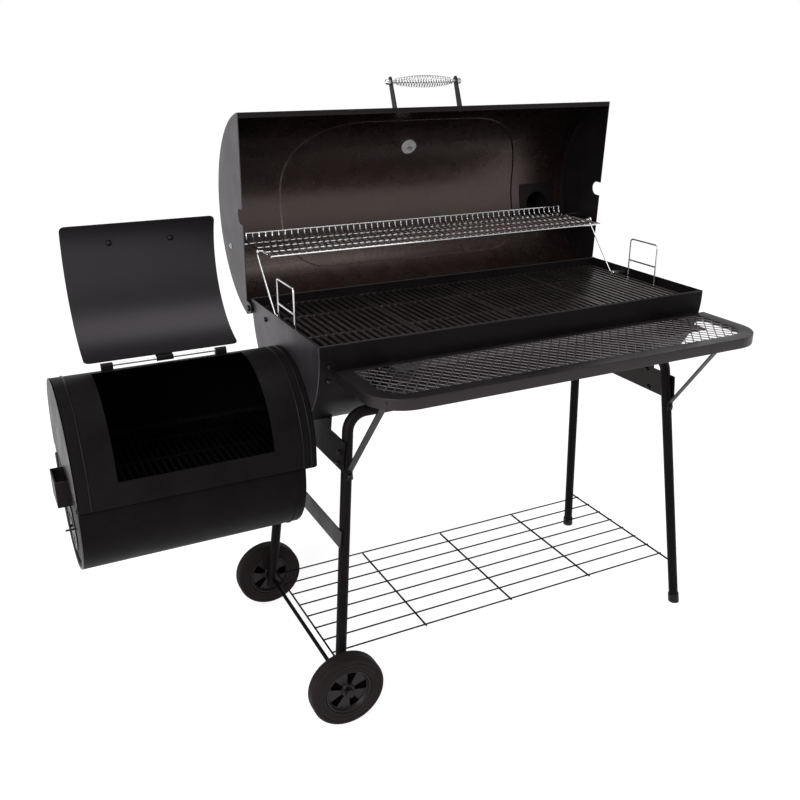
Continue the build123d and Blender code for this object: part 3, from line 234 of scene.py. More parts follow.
BLACK_PAINT = satin_paint("satin_black", BLACKS, rough=(0.34, 0.46), gloss=0.16, tint=LEG_TINT).material
# Painted shade: a dull near-black for the firebox's insides and gaps
SHADE_BLACK = satin_paint("painted_shade_black", SHADE_BLACKS, rough=(0.7, 0.8), gloss=0.03).material
MATT_BLACK = satin_paint("matt_black", BLACKS, rough=(0.44, 0.56), gloss=0.04).material
BARREL_PAINT = satin_paint("barrel_black", BLACKS, rough=(0.40, 0.50), gloss=0.07).material
LEG_PAINT = satin_paint("leg_black", BLACKS, rough=(0.44, 0.56), gloss=0.06, tint=LEG_TINT).material
# Painted light: the left end panels' black is lighter than the black of the other parts
LIT_SIDE_PAINT = satin_paint(
    "lit_side_black", LIT_SIDE_SHADES, rough=(0.42, 0.52), gloss=0.85, tint=DOOR_TINT
).material
SHELF_PAINT = satin_paint("shelf_black", SHELF_SHADES, rough=(0.36, 0.44), gloss=0.36).material
# Painted light: a lighter black for the expanded mesh
MESH_PAINT = satin_paint(
    "mesh_lit_black", MESH_LIT_SHADES, rough=(0.28, 0.38), gloss=1.0
).set({"IOR": 1.7}).material
GRATE_ENAMEL = satin_paint(
    "grate_enamel_black", BLACKS, rough=(0.28, 0.40), gloss=1.0, tint=LEG_TINT
).material
# The firebox grate is near-black, which is painted shade
SHADED_GRATE = satin_paint("painted_shade_grate", SHADE_BLACKS, rough=(0.4, 0.55), gloss=0.12).material
CHROME = bright_metal("bright_wire", CHROME_SHADES, rough=(0.06, 0.12))
DARK_ZINC = bright_metal("blackened_zinc", DARK_ZINC_SHADES, rough=(0.30, 0.42))
ZINC = bright_metal("zinc_plate", ZINC_SHADES, rough=(0.28, 0.42))
PLASTIC = satin_paint("moulded_black", PLASTIC_SHADES, rough=(0.40, 0.52), gloss=0.2, peel=0.2).material
TYRE = satin_paint("tyre_rubber", TYRE_SHADES, rough=(0.50, 0.66), gloss=0.11, peel=0.3).material

# The wheels' hubs are painted near-black and dull inside their windows: painted shade for the recesses

WHEELS_MIDDLE = (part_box("tyre_front")[0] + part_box("tyre_rear")[1]) / 2
TYRE_HALF_WIDTH = 20.0
WHEEL_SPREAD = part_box("tyre_rear")[1].y - WHEELS_MIDDLE.y - TYRE_HALF_WIDTH * MM
WINDOW_DEPTH = 9.6
WINDOW_REACH = 50.0
HUB_SHADES = (rgb(0.006, 0.0052, 0.0048), rgb(0.010, 0.0088, 0.0082))
WINDOW_SHADE_COLOURS = (rgb(0.0016, 0.0009, 0.0008), rgb(0.0035, 0.0019, 0.0016))


def hub_plastic():
    """Moulded black, with painted shade: near-black and dull inside the hub's windows."""
    paint = satin_paint("hub_black", HUB_SHADES, rough=(0.34, 0.46), gloss=0.25, peel=0.15)
    across, out, up = paint.from_point(WHEELS_MIDDLE)
    depth = abs(abs(out) - WHEEL_SPREAD)
    reach = (across * across + up * up).root()
    # Painted shade: the windows' floors and walls are made near-black
    window_shade = paint.fade(depth, (WINDOW_DEPTH - 0.5) * MM, WINDOW_DEPTH * MM, 1.0, 0.0)
    window_shade = window_shade * paint.fade(reach, WINDOW_REACH * MM, (WINDOW_REACH + 1.0) * MM, 1.0, 0.0)
    dark = paint.mix(paint.noise(60.0), *WINDOW_SHADE_COLOURS)
    paint.blend(window_shade, {"Base Color": dark, "Roughness": 0.8, "Specular IOR Level": 0.03})
    return paint.material


HUB_PLASTIC = hub_plastic()


def clear_glass():
    paint = Paint("clear_glass")
    smear = paint.fade(paint.noise(60.0, 2.0), 0.4, 0.8, 0.02, 0.08)
    paint.set({"Base Color": rgb(0.96, 0.97, 0.97), "Roughness": smear})
    paint.set({"Transmission Weight": 1.0, "IOR": 1.45})
    return paint.material


NEEDLE_SHADES = (rgb(0.42, 0.03, 0.02), rgb(0.55, 0.05, 0.03))
NUT_SHADES = (rgb(0.42, 0.42, 0.43), rgb(0.58, 0.58, 0.59))
DIAL_SHADES = (rgb(0.46, 0.46, 0.44), rgb(0.56, 0.56, 0.54))
NEEDLE_RED = satin_paint(
    "needle_red_gloss", NEEDLE_SHADES, rough=(0.25, 0.35), gloss=0.4, peel=0.05
).material
PALE_NUT = satin_paint("pale_nut", NUT_SHADES, rough=(0.35, 0.5), gloss=0.4).material
DIAL_WHITE = satin_paint("dial_white", DIAL_SHADES, rough=(0.4, 0.55), gloss=0.3, peel=0.05).material
FINISHES = {
    "black_paint": BLACK_PAINT,
    "chrome_wire": CHROME,
    "grate_enamel": GRATE_ENAMEL,
    "zinc": ZINC,
    "black_plastic": PLASTIC,
    "tyre": TYRE,
    "glass": clear_glass(),
    "needle_red": NEEDLE_RED,
}

# Curved skins: one finish outside, another inside

HALF_SHEET = 1.0
SHEET_BLUR = 0.4


def inside_of(paint, axis, radius):
    """1 on the inner side of a rolled sheet, 0 on its outer side."""
    back, up = paint.from_point(axis)[1:]
    reach = (back * back + up * up).root()
    between = radius - HALF_SHEET
    return paint.fade(reach, (between - SHEET_BLUR) * MM, (between + SHEET_BLUR) * MM, 1.0, 0.0)


# The lid is smoked brown inside, where it shines a little, and has a pressed panel

LID_AXIS = at(520.0, 397.65, 191.97)
LID_RADIUS = 242.99
LID_INNER = LID_RADIUS - 2.0
LIP_HEIGHT = 228.0
STEP_HALF = 2.2
PANEL_MIDDLE = -7.5
PANEL_HALF_LENGTH = 358.0
PANEL_BOW_MIDDLE = 29.5
PANEL_HALF_BOW = 213.5
PANEL_CORNER_TOP = 212.0
PANEL_CORNER_LOW = 110.0
SMOKE_TINT = rgb(1.0, 0.80, 0.75)
SMOKED = (rgb(0.0046, 0.0022, 0.0018), rgb(0.0075, 0.0038, 0.0031))


def panel_edge(paint):
    """How far outside the pressed panel's edge a place lies, along the lid's bow."""
    along, back, up = paint.from_point(LID_AXIS)
    bow = up.maths("ARCTAN2", up, back) * LID_RADIUS * MM
    middle_bow = PANEL_BOW_MIDDLE * MM
    corners = (PANEL_CORNER_LOW * MM, PANEL_CORNER_TOP * MM)
    corner = paint.fade(bow, middle_bow - MM, middle_bow + MM, *corners)
    over_x = abs(along - PANEL_MIDDLE * MM) - PANEL_HALF_LENGTH * MM + corner
    over_bow = abs(bow - middle_bow) - PANEL_HALF_BOW * MM + corner
    out_x = over_x.at_least(0.0)
    out_bow = over_bow.at_least(0.0)
    outside = (out_x * out_x + out_bow * out_bow).root()
    return outside + over_x.at_least(over_bow).at_most(0.0) - corner


def lid_skin():
    """Black outside and smoked inside, up to the lip along the lid's front edge."""
    paint = satin_paint("lid_skin", BLACKS, rough=(0.38, 0.48), gloss=0.16)
    height = paint.from_point(LID_AXIS)[2]
    below_lip = paint.fade(height, (LIP_HEIGHT - 1.0) * MM, (LIP_HEIGHT + 1.0) * MM, 1.0, 0.0)
    step = paint.fade(panel_edge(paint), -STEP_HALF * MM, STEP_HALF * MM, 1.0, 0.0)
    cloud = paint.fade(paint.noise(24.0, 5.0), 0.32, 0.7)
    inner = {"Base Color": paint.mix(cloud, *SMOKED)}
    inner["Roughness"] = paint.fade(cloud, 0.0, 1.0, 0.24, 0.31)
    inner["Normal"] = paint.bump(step + cloud * 0.03, 0.8, STEP_HALF * MM)
    inner.update({"IOR": 1.7, "Specular IOR Level": 0.47, "Specular Tint": SMOKE_TINT})
    paint.blend(inside_of(paint, LID_AXIS, LID_RADIUS) * below_lip, inner)
    return paint.material


# The firebox is painted near-black inside: painted shade for the dark inside of the box

FIREBOX_AXIS = (215.0, -243.0)
FIREBOX_RADIUS = 180.0
HOOD_ROUGH = (0.42, 0.54)
HOOD_GLOSS = 0.05


def firebox_skin():
    paint = satin_paint("firebox_skin", BLACKS, HOOD_ROUGH, HOOD_GLOSS)
    # Painted shade: the inner side is near-black and dull
    inner_shade = {"Base Color": paint.mix(paint.noise(20.0), *SHADE_BLACKS)}
    inner_shade.update({"Roughness": 0.8, "Specular IOR Level": 0.02})
    paint.blend(inside_of(paint, at(0.0, *FIREBOX_AXIS), FIREBOX_RADIUS), inner_shade)
    return paint.material


DRESSED = {
    "lid_shell": lid_skin(),
    # The left ends take the lighter side black, which is painted light
    "lid_left_end": LIT_SIDE_PAINT,
    "chamber_shell": BARREL_PAINT,
    "chamber_left_end": LIT_SIDE_PAINT,
    # The firebox's inner skin and its right end are near-black, which is painted shade
    "firebox_shell": firebox_skin(),
    "firebox_right_end": SHADE_BLACK,
    "ash_drawer": MATT_BLACK,
    "axle": MATT_BLACK,
    "lid_pivot_studs": BLACK_PAINT,
    "door_hinge_rod": CHROME,
    "thermometer_nut": PALE_NUT,
}
for name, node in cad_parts.items():
    node.data.materials[0] = DRESSED.get(name, FINISHES[node.data.materials[0].name])

X_AXIS = Vector((1.0, 0.0, 0.0))
Y_AXIS = Vector((0.0, 1.0, 0.0))
Z_AXIS = Vector((0.0, 0.0, 1.0))

# Working by hand: start a piece, choose parts of it, finish it


def begin(name, add, **settings):
    """Start a piece from one primitive, alone in the selection and open for editing."""
    if bpy.context.mode != "OBJECT":
        bpy.ops.object.mode_set(mode="OBJECT")
    bpy.ops.object.select_all(action="DESELECT")
    add(**settings)
    piece = bpy.context.object
    piece.name = name
    piece.data.name = name
    bpy.ops.object.transform_apply(location=True, rotation=True, scale=True)
    bpy.ops.object.mode_set(mode="EDIT")
    bpy.ops.mesh.select_all(action="SELECT")
    return piece


def choose(piece, kind, test):
    """Select the faces, edges or corners that pass a test."""
    bpy.ops.mesh.select_mode(type=kind)
    bpy.ops.mesh.select_all(action="DESELECT")
    shape = bmesh.from_edit_mesh(piece.data)
    parts = {"VERT": shape.verts, "EDGE": shape.edges, "FACE": shape.faces}[kind]
    for part in parts:
        part.select_set(test(part))
    bmesh.update_edit_mesh(piece.data)


def middle(part):
    """The middle of an edge or a face."""
    return sum((corner.co for corner in part.verts), Vector()) / len(part.verts)


def close(piece, smooth=40.0):
    """Turn all faces outwards and leave edit mode with soft shading."""
    bpy.ops.mesh.select_mode(type="VERT")
    bpy.ops.mesh.select_all(action="SELECT")
    bpy.ops.mesh.normals_make_consistent(inside=False)
    bpy.ops.object.mode_set(mode="OBJECT")
    bpy.ops.object.shade_smooth_by_angle(angle=math.radians(smooth))
    return piece


def only(piece):
    """Make one piece the whole selection."""
    bpy.ops.object.select_all(action="DESELECT")
    piece.select_set(True)
    bpy.context.view_layer.objects.active = piece


def modify(piece, kind, **settings):
    """Add one modifier, set it and apply it."""
    only(piece)
    modifier = piece.modifiers.new(kind.lower(), kind)
    for name, value in settings.items():
        setattr(modifier, name, value)
    bpy.ops.object.modifier_apply(modifier=modifier.name)
    return piece


def repeat(piece, count, step):
    """A row of copies of a piece within its own mesh."""
    return modify(
        piece,
        "ARRAY",
        count=count,
        use_relative_offset=False,
        use_constant_offset=True,
        constant_offset_displace=step,
    )


def copy(piece, name, step):
    """A copy of a piece, moved, with its own mesh."""
    only(piece)
    bpy.ops.object.duplicate()
    twin = bpy.context.object
    twin.name = name
    twin.data.name = name
    bpy.ops.transform.translate(value=step)
    bpy.ops.object.transform_apply(location=True, rotation=True, scale=True)
    return twin


def flip(piece, name, centre, axis=0):
    """A mirrored copy of a piece on the other side of a plane, with its own mesh."""
    twin = copy(piece, name, (0.0, 0.0, 0.0))
    scale = [1.0, 1.0, 1.0]
    scale[axis] = -1.0
    bpy.ops.object.mode_set(mode="EDIT")
    bpy.ops.mesh.select_all(action="SELECT")
    bpy.ops.transform.resize(value=scale, center_override=centre)
    return close(twin)


def weld(name, pieces):
    """Join pieces into one."""
    bpy.ops.object.select_all(action="DESELECT")
    for piece in pieces:
        piece.select_set(True)
    bpy.context.view_layer.objects.active = pieces[0]
    bpy.ops.object.join()
    pieces[0].name = name
    pieces[0].data.name = name
    return pieces[0]


def fit(piece, body, slot, paint, *nodes):
    """Give a finished piece its paint, its body and the nodes that it stands for."""
    piece.data.materials.clear()
    piece.data.materials.append(paint)
    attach(piece, body)
    if nodes:
        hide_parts(*nodes)
    return piece


class Wire:
    """A wire or tube, drawn run by run from a small disc and bent at its corners."""

    def __init__(self, name, start, heading, radius, sides=10):
        self.place = Vector(start)
        self.heading = Vector(heading).normalized()
        self.piece = begin(
            name,
            bpy.ops.mesh.primitive_circle_add,
            vertices=sides,
            radius=radius * MM,
            fill_type="NGON",
            location=self.place,
            rotation=self.heading.to_track_quat("Z", "Y").to_euler(),
        )

    def run(self, length):
        """Draw the wire straight on, by millimetres."""
        step = self.heading * length * MM
        bpy.ops.mesh.extrude_region_move(TRANSFORM_OT_translate={"value": step})
        self.place += step
        return self

    def bend(self, towards, radius, steps=6):
        """Bend the wire until it points another way."""
        towards = Vector(towards).normalized()
        axis = self.heading.cross(towards).normalized()
        return self.turn(axis, self.heading.angle(towards), radius, steps)

    def turn(self, axis, angle, radius, steps):
        """Bend the wire about an axis by an angle."""
        centre = self.place + axis.cross(self.heading) * radius * MM
        bpy.ops.mesh.spin(steps=steps, angle=-angle, center=centre, axis=axis)
        rotation = Matrix.Rotation(angle, 3, axis)
        self.place = centre + rotation @ (self.place - centre)
        self.heading = rotation @ self.heading
        return self

    def through(self, points, radius, steps=6):
        """Draw the wire through corners, each one rounded, to the last point."""
        for corner, after in zip(points[:-1], points[1:]):
            towards = (after - corner).normalized()
            cut = radius * MM * math.tan(self.heading.angle(towards) / 2)
            self.run(((corner - self.place).length - cut) / MM)
            self.bend(towards, radius, steps)
        return self.run((points[-1] - self.place).length / MM)

    def done(self):
        return close(self.piece)


class Strap(Wire):
    """A flat bar across x, drawn and bent like a wire."""

    def __init__(self, name, start, heading, width, thick):
        self.place = Vector(start)
        self.heading = Vector(heading).normalized()
        turn = Matrix((X_AXIS, self.heading.cross(X_AXIS), self.heading)).transposed()
        self.piece = begin(
            name,
            bpy.ops.mesh.primitive_plane_add,
            size=1.0,
            location=self.place,
            rotation=turn.to_euler(),
        )
        scale = (width * MM, thick * MM, thick * MM)
        bpy.ops.transform.resize(value=scale, center_override=self.place)


def bent_wire(name, points, radius, corner=1.0, sides=10, steps=6):
    """A wire through given points with rounded corners."""
    wire = Wire(name, points[0], points[1] - points[0], radius, sides)
    return wire.through(points[1:], corner, steps).done()


# Leg frames: bent tubes that splay outwards

CHAMBER_LENGTH = (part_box("chamber_right_end")[1].x - DATUM.x) / MM
CHAMBER_DEPTH = (CHAMBER_HIGH.y - CHAMBER_LOW.y) / MM
MIDDLE = at(CHAMBER_LENGTH / 2, CHAMBER_DEPTH / 2, 0.0)
TUBE_RADIUS = 12.7
LEG_BEND = 45.0
LEG_LEFT = 77.0
LEG_RIGHT = 971.0
LEG_INSET = 36.0
LEG_BAR_DROP = 172.0
LEG_TAIL = 24.0
SPLAY_X = math.tan(math.radians(5.7))
SPLAY_Y = math.tan(math.radians(5.4))
CAP_RADIUS = 15.0
CAP_FLOOR = 6.0
CAP_HEIGHT = 26.0
CAP_ROUND = 2.0
GROUND_DROP = (DATUM.z - GROUND) / MM
AXLE = (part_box("axle")[0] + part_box("axle")[1]) / 2
AXLE_DROP = (DATUM.z - AXLE.z) / MM


def leg_down(side, lean):
    """The way a leg runs down: side is -1 at the left, lean is 1 at the front."""
    return Vector((side * SPLAY_X, -lean * SPLAY_Y, -1.0))


def leg_top(side, lean):
    """Where a leg's middle line meets the top bar's."""
    x = LEG_LEFT if side < 0 else LEG_RIGHT
    y = LEG_INSET if lean > 0 else CHAMBER_DEPTH - LEG_INSET
    return at(x, y, -LEG_BAR_DROP)


def leg_point(side, lean, drop):
    """A point on a leg's middle line, at a height below the rim."""
    return leg_top(side, lean) + leg_down(side, lean) * (drop - LEG_BAR_DROP) * MM


def leg_frame(name, lean):
    points = [
        leg_point(-1, lean, AXLE_DROP + LEG_TAIL),
        leg_top(-1, lean),
        leg_top(1, lean),
        leg_point(1, lean, GROUND_DROP - CAP_FLOOR),
    ]
    tube = bent_wire(name, points, TUBE_RADIUS, LEG_BEND, sides=20, steps=8)
    return fit(tube, "chamber", "black_paint", LEG_PAINT, name)


def foot_cap(name, lean):
    """A pushed-on cap with a rounded lip, cut level with the ground."""
    up = -leg_down(1, lean).normalized()
    start = leg_point(1, lean, GROUND_DROP) - up * CAP_FLOOR * MM
    cap = Wire(name, start, up, CAP_RADIUS, 24)
    cap.run(CAP_HEIGHT + CAP_FLOOR)
    piece = cap.piece
    bpy.ops.mesh.bevel(offset=CAP_ROUND * MM, segments=3)
    bpy.ops.mesh.select_all(action="SELECT")
    bpy.ops.mesh.bisect(
        plane_co=(0.0, 0.0, GROUND), plane_no=Z_AXIS, use_fill=True, clear_inner=True
    )
    return close(piece)


leg_frame("front_leg_frame", 1)
leg_frame("rear_leg_frame", -1)
caps = weld("foot_caps_pair", [foot_cap("front_foot_cap", 1), foot_cap("rear_foot_cap", -1)])
fit(caps, "chamber", "black_plastic", PLASTIC, "foot_caps")

# Lower wire shelf: long wires on ties, its end ties reaching into the legs

SHELF_WIRE = 2.0
TIE_WIRE = 2.5
SHELF_RUNS = 8
SHELF_TIES = 5
SHELF_RUN_INSET = 26.0
SHELF_LOW, SHELF_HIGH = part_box("wire_shelf")
SHELF_DROP = (DATUM.z - (SHELF_LOW.z + SHELF_HIGH.z) / 2) / MM


def wire_shelf():
    left = leg_point(-1, 1, SHELF_DROP)
    right = leg_point(1, 1, SHELF_DROP)
    first = Vector((left.x, at(0, SHELF_RUN_INSET, 0).y, left.z + SHELF_WIRE * MM))
    last = Vector((right.x, first.y, first.z))
    pitch = (CHAMBER_DEPTH - 2 * SHELF_RUN_INSET) / (SHELF_RUNS - 1)
    runs = bent_wire("shelf_runs", [first, last], SHELF_WIRE, sides=8)
    repeat(runs, SHELF_RUNS, (0.0, pitch * MM, 0.0))
    tie_pitch = (right.x - left.x) / (SHELF_TIES - 1)
    tie_front = first + X_AXIS * tie_pitch - Z_AXIS * (SHELF_WIRE + TIE_WIRE) * MM
    tie_back = tie_front + Y_AXIS * pitch * (SHELF_RUNS - 1) * MM
    ties = bent_wire("shelf_ties", [tie_front, tie_back], TIE_WIRE, sides=8)
    repeat(ties, SHELF_TIES - 2, (tie_pitch, 0.0, 0.0))
    ends = []
    for side in (-1, 1):
        start = leg_point(side, 1, SHELF_DROP) - Z_AXIS * TIE_WIRE * MM
        end = leg_point(side, -1, SHELF_DROP) - Z_AXIS * TIE_WIRE * MM
        ends.append(bent_wire("shelf_end_tie", [start, end], TIE_WIRE, sides=8))
    shelf = weld("lower_wire_shelf", [runs, ties, *ends])
    fit(shelf, "chamber", "black_paint", MATT_BLACK, "wire_shelf")


wire_shelf()

# Front shelf: an expanded mesh under a pressed border

FRONT_LOW, FRONT_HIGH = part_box("shelf_frame")
SHELF_CORNER = 88.0
SHELF_BORDER = 34.0
SHELF_BACK_BORDER = 17.0
SHELF_SHEET = 2.0
SHELF_ROUND = 1.6
APRON = (FRONT_HIGH.z - FRONT_LOW.z) / MM
MESH_CELL_X = 24.2
MESH_CELL_Y = 30.2
MESH_STRAND = 2.0
MESH_THICK = 1.6
MESH_MARGIN = 4.0
MESH_SIDE_MARGIN = 12.0


def shelf_border():
    size = FRONT_HIGH - FRONT_LOW
    centre = (FRONT_LOW + FRONT_HIGH) / 2
    centre.z = FRONT_HIGH.z
    border = begin("shelf_border", bpy.ops.mesh.primitive_plane_add, size=1.0, location=centre)
    bpy.ops.transform.resize(value=(size.x, size.y, 1.0), center_override=centre)
    choose(border, "VERT", lambda corner: corner.co.y < centre.y)
    bpy.ops.mesh.bevel(offset=SHELF_CORNER * MM, segments=14, affect="VERTICES", offset_type="OFFSET")
    bpy.ops.mesh.select_all(action="SELECT")
    bpy.ops.mesh.inset(thickness=SHELF_BORDER * MM, use_even_offset=True)
    bpy.ops.mesh.delete(type="FACE")
    back = FRONT_HIGH.y - SHELF_BORDER * MM
    choose(border, "VERT", lambda corner: abs(corner.co.y - back) < 0.1 * MM)
    bpy.ops.transform.translate(value=(0.0, (SHELF_BORDER - SHELF_BACK_BORDER) * MM, 0.0))
    choose(border, "EDGE", lambda edge: edge.is_boundary and on_rim(edge))
    bpy.ops.mesh.extrude_region_move(TRANSFORM_OT_translate={"value": (0.0, 0.0, -APRON * MM)})
    close(border)
    modify(border, "SOLIDIFY", thickness=SHELF_SHEET * MM, offset=-1.0, use_even_offset=True)
    sharp = {"limit_method": "ANGLE", "angle_limit": math.radians(50)}
    modify(border, "BEVEL", width=SHELF_ROUND * MM, segments=3, **sharp)
    only(border)
    bpy.ops.object.shade_smooth_by_angle(angle=math.radians(40))
    fit(border, "chamber", "black_paint", SHELF_PAINT, "shelf_frame")


def on_rim(edge):
    """Whether an edge lies on the shelf's outer outline and not on its opening."""
    inset = SHELF_BORDER * MM / 2
    point = middle(edge)
    if point.y > FRONT_HIGH.y - SHELF_BACK_BORDER * MM / 2 or point.y < FRONT_LOW.y + inset:
        return True
    if point.x < FRONT_LOW.x + inset or point.x > FRONT_HIGH.x - inset:
        return True
    return corner_distance(point) > (SHELF_CORNER - SHELF_BORDER / 2) * MM


def corner_distance(point):
    """How far a point in a rounded corner is from that corner's centre, or 0 elsewhere."""
    reach = SHELF_CORNER * MM
    side = max(FRONT_LOW.x + reach - point.x, point.x - (FRONT_HIGH.x - reach))
    nose = FRONT_LOW.y + reach - point.y
    return math.hypot(side, nose) if side > 0 and nose > 0 else 0.0


def mesh_rings(name, rows, columns, start):
    """A field of diamond rings that touch tip to tip."""
    ring = begin(
        name, bpy.ops.mesh.primitive_circle_add, vertices=4, radius=0.5, fill_type="NGON", location=start
    )
    bpy.ops.transform.resize(
        value=(MESH_CELL_X * MM, MESH_CELL_Y * MM, 1.0), center_override=start
    )
    bpy.ops.mesh.inset(thickness=MESH_STRAND / 2 * MM, use_even_offset=True)
    bpy.ops.mesh.delete(type="FACE")
    bpy.ops.mesh.select_all(action="SELECT")
    bpy.ops.mesh.extrude_region_move(TRANSFORM_OT_translate={"value": (0.0, 0.0, -MESH_THICK * MM)})
    close(ring)
    repeat(ring, columns, (MESH_CELL_X * MM, 0.0, 0.0))
    return repeat(ring, rows, (0.0, MESH_CELL_Y * MM, 0.0))


def shelf_mesh():
    level = FRONT_HIGH.z - SHELF_SHEET * MM
    columns = int((FRONT_HIGH.x - FRONT_LOW.x - 2 * MESH_SIDE_MARGIN * MM) / (MESH_CELL_X * MM))
    rows = math.ceil((FRONT_HIGH.y - FRONT_LOW.y - 2 * MESH_MARGIN * MM) / (MESH_CELL_Y * MM))
    centre = (FRONT_LOW + FRONT_HIGH) / 2
    start = Vector((
        centre.x - (columns - 1) / 2 * MESH_CELL_X * MM,
        centre.y - (rows - 1) / 2 * MESH_CELL_Y * MM,
        level,
    ))
    between = Vector((MESH_CELL_X * MM / 2, MESH_CELL_Y * MM / 2, 0.0))
    rings = mesh_rings("mesh_rings", rows, columns, start)
    others = mesh_rings("mesh_rings_between", rows - 1, columns - 1, start + between)
    mesh = weld("expanded_mesh", [rings, others])
    only(mesh)
    bpy.ops.object.mode_set(mode="EDIT")
    edges = ((FRONT_HIGH.y - MESH_MARGIN * MM, 1.0), (FRONT_LOW.y + MESH_MARGIN * MM, -1.0))
    for edge_y, way in edges:
        bpy.ops.mesh.select_mode(type="VERT")
        bpy.ops.mesh.select_all(action="SELECT")
        bpy.ops.mesh.bisect(
            plane_co=(0.0, edge_y, 0.0), plane_no=(0.0, way, 0.0), clear_outer=True, use_fill=False
        )
    reach = (SHELF_CORNER - MESH_MARGIN) * MM
    choose(mesh, "VERT", lambda corner: corner_distance(corner.co) > reach)
    bpy.ops.mesh.delete(type="VERT")
    bpy.ops.object.mode_set(mode="OBJECT")
    # The mesh takes its lighter black, which is painted light
    fit(mesh, "chamber", "black_paint", MESH_PAINT, "shelf_mesh")


shelf_border()
shelf_mesh()

# Warming rack: cross wires on long wires, turned up at the back to a rail

RACK_INSET = 37.0
RACK_FRONT = 380.0
RACK_BACK = 582.0
RACK_LEVEL = 110.0
RACK_PIVOT = (561.0, 108.0)
RACK_STUB = (445.0, 112.0)
RACK_RAIL = 2.5
RACK_WIRE = 1.7
RACK_RISE = 21.0
RACK_CROSS_COUNT = 56
RACK_CURVE = 15.0
RACK_UPRIGHT = RACK_BACK - 3.0
RACK_CROSS_LEVEL = RACK_LEVEL + 2.4
RACK_LONG_LEVEL = RACK_LEVEL - 1.0
RACK_LONG_WIRE = 2.0
RACK_LONG_FIRST = 440.0
RACK_LONG_GAP = 60.0
RACK_LONG_COUNT = 3
RACK_STUB_ENDS = (("rack_pivot", -12.0, RACK_PIVOT), ("rack_stub", 19.7, RACK_STUB))


def rack_rail(name, y, z, radius):
    """A straight wire along the rack."""
    ends = [at(RACK_INSET, y, z), at(CHAMBER_LENGTH - RACK_INSET, y, z)]
    return bent_wire(name, ends, radius)


def rack_rung(name, x, level, radius):
    """A wire from the front rail to the back, where it curves up to the top rail."""
    points = [
        at(x, RACK_FRONT, level),
        at(x, RACK_UPRIGHT, level),
        at(x, RACK_UPRIGHT, RACK_LEVEL + RACK_RISE + 1.0),
    ]
    return bent_wire(name, points, radius, RACK_CURVE, sides=8, steps=5)


def rack_stub(name, end_x, place):
    """A short pivot wire out of the rack's side rail."""
    return bent_wire(name, [at(RACK_INSET, *place), at(end_x, *place)], RACK_RAIL, sides=14)


def warming_rack():
    right = CHAMBER_LENGTH - RACK_INSET
    pieces = [
        rack_rail("rack_front_rail", RACK_FRONT, RACK_LEVEL, RACK_RAIL),
        rack_rail("rack_top_rail", RACK_BACK, RACK_LEVEL + RACK_RISE, RACK_RAIL),
    ]
    long_wire = rack_rail("rack_long_wires", RACK_LONG_FIRST, RACK_LONG_LEVEL, RACK_LONG_WIRE)
    pieces.append(repeat(long_wire, RACK_LONG_COUNT, (0.0, RACK_LONG_GAP * MM, 0.0)))
    pitch = (right - RACK_INSET) / (RACK_CROSS_COUNT - 1)
    cross = rack_rung("rack_cross_wires", RACK_INSET + pitch, RACK_CROSS_LEVEL, RACK_WIRE)
    pieces.append(repeat(cross, RACK_CROSS_COUNT - 2, (pitch * MM, 0.0, 0.0)))
    side = rack_rung("rack_side_rails", RACK_INSET, RACK_LEVEL, RACK_RAIL)
    pieces.append(repeat(side, 2, ((right - RACK_INSET) * MM, 0.0, 0.0)))
    for name, end_x, place in RACK_STUB_ENDS:
        stub = rack_stub(name, end_x, place)
        pieces += [stub, flip(stub, name + "_right", MIDDLE)]
    fit(weld("warming_rack_wires", pieces), "rack", "chrome_wire", CHROME, "warming_rack")


LINK_FOOT = at(22.7, 326.0, -20.0)
LINK_HEAD = at(22.7, *RACK_STUB)
LINK_WIRE = 2.0
LINK_EYE = 5.2
EYE_TURN = math.radians(310)


def rack_link():
    """One bent wire with an open eye at each end."""
    way = (LINK_HEAD - LINK_FOOT).normalized()
    back = Matrix.Rotation(-EYE_TURN, 3, X_AXIS)
    arm = way.cross(X_AXIS) * LINK_EYE * MM
    wire = Wire("rack_link_wire_left", LINK_FOOT + back @ arm, back @ way, LINK_WIRE, 12)
    wire.turn(X_AXIS, EYE_TURN, LINK_EYE, 24)
    wire.run((LINK_HEAD - LINK_FOOT).length / MM)
    wire.turn(X_AXIS, EYE_TURN, LINK_EYE, 24)
    left = wire.done()
    right = flip(left, "rack_link_wire_right", MIDDLE)
    fit(left, "rack_links", "chrome_wire", CHROME, "rack_link_left")
    fit(right, "rack_links", "chrome_wire", CHROME, "rack_link_right")


LIFTER_X = 11.0
LIFTER_FRONT = 167.0
LIFTER_BACK = 273.0
LIFTER_TOP = 84.0
LIFTER_STUB = -148.0
LIFTER_WIRE = 2.3
LIFTER_STEP = 57.5
LIFTER_FOOT = 14.0
LIFTER_BEND = 8.0


